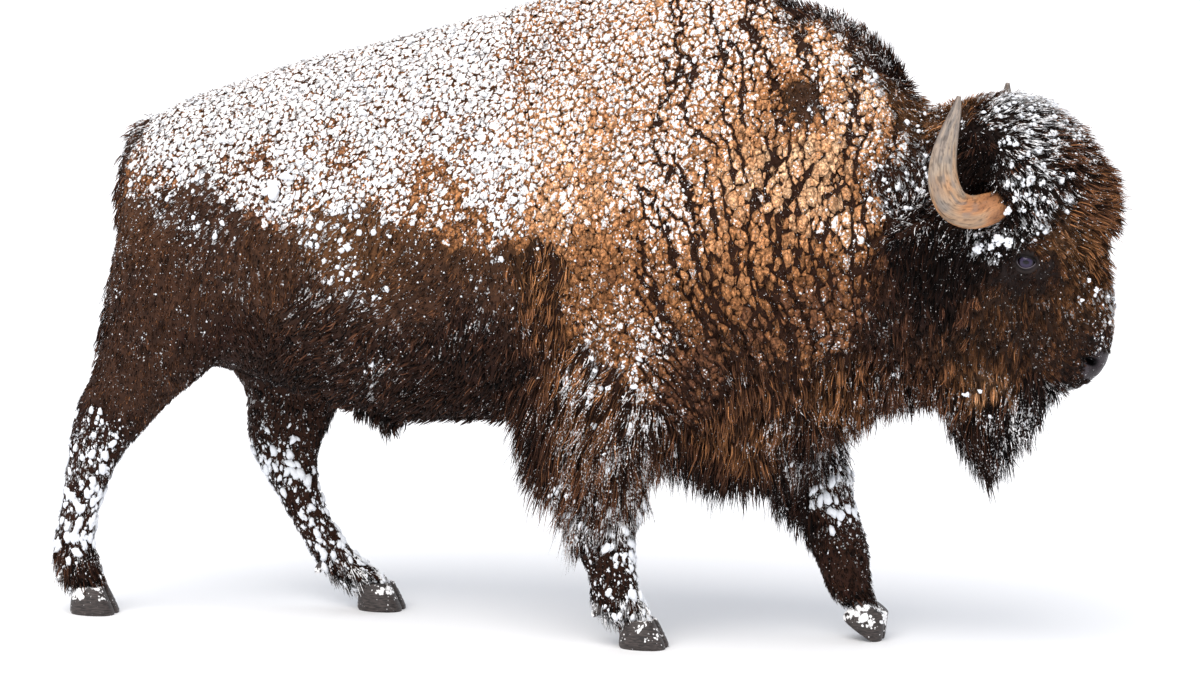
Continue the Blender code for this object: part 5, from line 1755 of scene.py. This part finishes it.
# %% Solids for snow
def ball20():
    """The corners and triangles of an icosahedron."""
    g = (1 + 5**0.5) / 2
    corners = [(-1, g, 0), (1, g, 0), (-1, -g, 0), (1, -g, 0), (0, -1, g), (0, 1, g)]
    corners += [(0, -1, -g), (0, 1, -g), (g, 0, -1), (g, 0, 1), (-g, 0, -1), (-g, 0, 1)]
    faces = [(0, 11, 5), (0, 5, 1), (0, 1, 7), (0, 7, 10), (0, 10, 11), (1, 5, 9), (5, 11, 4), (11, 10, 2)]
    faces += [(10, 7, 6), (7, 1, 8), (3, 9, 4), (3, 4, 2), (3, 2, 6), (3, 6, 8), (3, 8, 9), (4, 9, 5)]
    faces += [(2, 4, 11), (6, 2, 10), (8, 6, 7), (9, 8, 1)]
    return unit(np.array(corners, float)), np.array(faces)


def ball80():
    """A rounder ball: each triangle of the icosahedron is split in four, and its corners pushed out."""
    corners, faces = ball20()
    sides = np.sort(faces[:, [(0, 1), (1, 2), (2, 0)]].reshape(-1, 2), axis=1)
    pairs, number = np.unique(sides, axis=0, return_inverse=True)
    middle = number.reshape(-1, 3) + len(corners)
    found = [np.column_stack((faces[:, k], middle[:, k], middle[:, k - 1])) for k in range(3)]
    return unit(np.vstack([corners, corners[pairs].mean(1)])), np.vstack(found + [middle])


def octahedron():
    """The corners and triangles of an octahedron."""
    faces = [(0, 1, 2), (1, 3, 2), (3, 4, 2), (4, 0, 2), (1, 0, 5), (3, 1, 5), (4, 3, 5), (0, 4, 5)]
    return np.vstack([np.eye(3), -np.eye(3)]), np.array(faces)


# %% How much snow there is
CLOTS, CRUMBS, BALLS_PER_LUMP = 4400, 15000, 22
CLOT_HALF, CRUMB_HALF = (0.003, 0.0095), (0.0011, 0.0034)  # from the smallest to the largest
MOSTLY_SMALL = 2.5  # the power of a random number that the size grows with
REST_AT, BALL_TALL = 0.7, 0.6  # where along its tuft a ball rests, and its height as a share of its width
LUMPS = np.array((  # x, y and z near the hide, and how wide each lump of snow is in mm
    (1.240, -0.20, 1.172, 30), (1.262, -0.20, 1.166, 26), (1.217, -0.20, 1.150, 20),
    (1.175, -0.20, 1.138, 24), (1.262, -0.20, 1.257, 22), (1.276, -0.20, 1.285, 17),
    (1.190, -0.20, 1.160, 13), (1.240, -0.20, 1.130, 12), (-0.800, -0.27, 1.247, 52),
    (-0.755, -0.27, 1.290, 30), (1.475, -0.06, 1.030, 15), (1.455, -0.07, 1.055, 12),
    (1.440, -0.08, 1.010, 11), (1.140, -0.10, 0.740, 18), (1.175, -0.10, 0.765, 13),
    (1.250, 0.20, 1.165, 24),
))


def snow_finish():
    """Dry fallen snow: almost white, soft and rough, with a cold tint and grain of about 2 mm."""
    finish, tree, shader = new_finish("dry_snow_crumbs", Roughness=0.7, Specular_IOR_Level=0.3)
    here = {"Vector": (add(tree, "TexCoord"), "Object")}
    grain = add(tree, "TexNoise", {"Scale": 500.0, "Detail": 3.0}, here)
    shades = {"A": rgba("#e9eef6"), "B": rgba("#fcfdff")}
    tint = add(tree, "Mix", shades, {"Factor": (grain, "Fac")}, data_type="RGBA")
    dress(tree, shader, (tint, "Result"), (grain, "Fac"), 0.6, 0.0015)
    return finish


# %% Balls of snow as pieces
def snow_piece(name, balls, spots, pattern):
    """One mesh of many balls, each with a small patch of the bake map at its place on the unrolled body."""
    count, per, _ = balls.shape
    flat = inside_map(np.column_stack((spots[:, 0], np.arctan2(spots[:, 2] - 0.9, spots[:, 1]))))
    spread = np.column_stack((np.cos(np.arange(per) * 2.4), np.sin(np.arange(per) * 2.4))) * PATCH
    maps = (flat[:, None, :] + spread)[:, pattern].reshape(-1, 2)
    faces = numbered(count, per, pattern)
    new_piece(name, balls.reshape(-1, 3), faces, DRY_SNOW, None, maps)
    print(name, len(faces), "triangles")


def snow_on_tufts(name, weight, count, solid, small, large):
    """Balls on random tufts: pressed flat against the coat, and turned and dented at random. The size is
    small + (large - small) x chance to the power of MOSTLY_SMALL."""
    count = int(count * TUFT_SHARE)
    some = picked(soft, rng.choice(len(weight), size=count, p=weight / weight.sum()))
    corners, pattern = solid
    x, _, z = some["root"].T
    size = small + (large - small) * rng.random(count) ** MOSTLY_SMALL
    low = smooth(0.9, 0.6, z)
    size = size * (1 + 0.25 * smooth(0.6, 0.45, z) - 0.30 * smooth(0.9, 1.05, x))
    dents = rng.uniform(0.7, 1.3, (count, len(corners), 1))
    turn = rng.normal(0, 1.2 - 0.85 * low)[:, None]
    long_way = np.cos(turn) * some["along"] + np.sin(turn) * some["sideways"]
    across = np.cross(some["normal"], long_way)
    axes = np.stack((long_way * (1.2 + 0.6 * low)[:, None], across, some["normal"] * BALL_TALL), axis=1)
    rise = (some["length"] * REST_AT * np.sin(some["stand"]))[:, None] * some["normal"]
    reach = (some["length"] * REST_AT * np.cos(some["stand"]))[:, None] * some["along"]
    spot = some["root"] + rise + reach + 0.8 * some["pull"]
    snow_piece(name, (corners * dents * size[:, None, None]) @ axes + spot[:, None, :], spot, pattern)


def snow_in_lumps():
    """A lump is a heap of balls that rests on the coat's tips over the nearest point of the hide."""
    centres = turn_about_neck(LUMPS[:, :3], smooth(NECK_END, HEAD_START, LUMPS[:, 0]))
    nearest = np.array([np.argmin(((place - centre) ** 2).sum(1)) for centre in centres])
    out = hide_normals[nearest]
    rest = place[nearest] + out * (coat["depth"][nearest] / 1000 * 0.9)[:, None]
    many = np.repeat(np.arange(len(LUMPS)), BALLS_PER_LUMP)
    wide = LUMPS[many, 3:] / 1000
    offset = rng.normal(0, 0.21, (len(many), 3)) * wide
    offset -= along_way(offset, out[many]) * 0.6
    corners, pattern = ball80()
    size = wide * (0.07 + 0.19 * rng.random((len(many), 1)) ** 1.5)
    balls = corners * rng.uniform(0.93, 1.07, (len(many), len(corners), 1)) * size[:, None]
    snow_piece("snow_lumps", balls + (rest[many] + offset)[:, None], rest[many] + offset, pattern)


# %% Snow on the coat
DRY_SNOW = snow_finish()
soft = populations[0]
share = soft["coat"]["snow"]
snowed = soft["snow"] * (1 - soft["edge"]) * soft["width"]
sparse = smooth(0.04, 0.30, share) * (0.04 + share) * (1 - soft["edge"]) * soft["width"]
on_crown = smooth(1.05, 1.2, soft["root"][:, 0]) * smooth(1.15, 1.3, soft["root"][:, 2])
thin_snow = smooth(0.18, 0.32, share) * smooth(0.85, 0.65, share) * (1 - soft["coat"]["pads"])
snowed = snowed * (1 + on_crown + 0.8 * thin_snow)
on_thick = snowed**2 * (smooth(0.30, 0.75, share) + 0.5 * thin_snow)
snow_on_tufts("snow_clots", on_thick, CLOTS, ball20(), *CLOT_HALF)
snow_on_tufts("snow_crumbs", 0.4 * snowed + 0.6 * sparse, CRUMBS, octahedron(), *CRUMB_HALF)
snow_in_lumps()
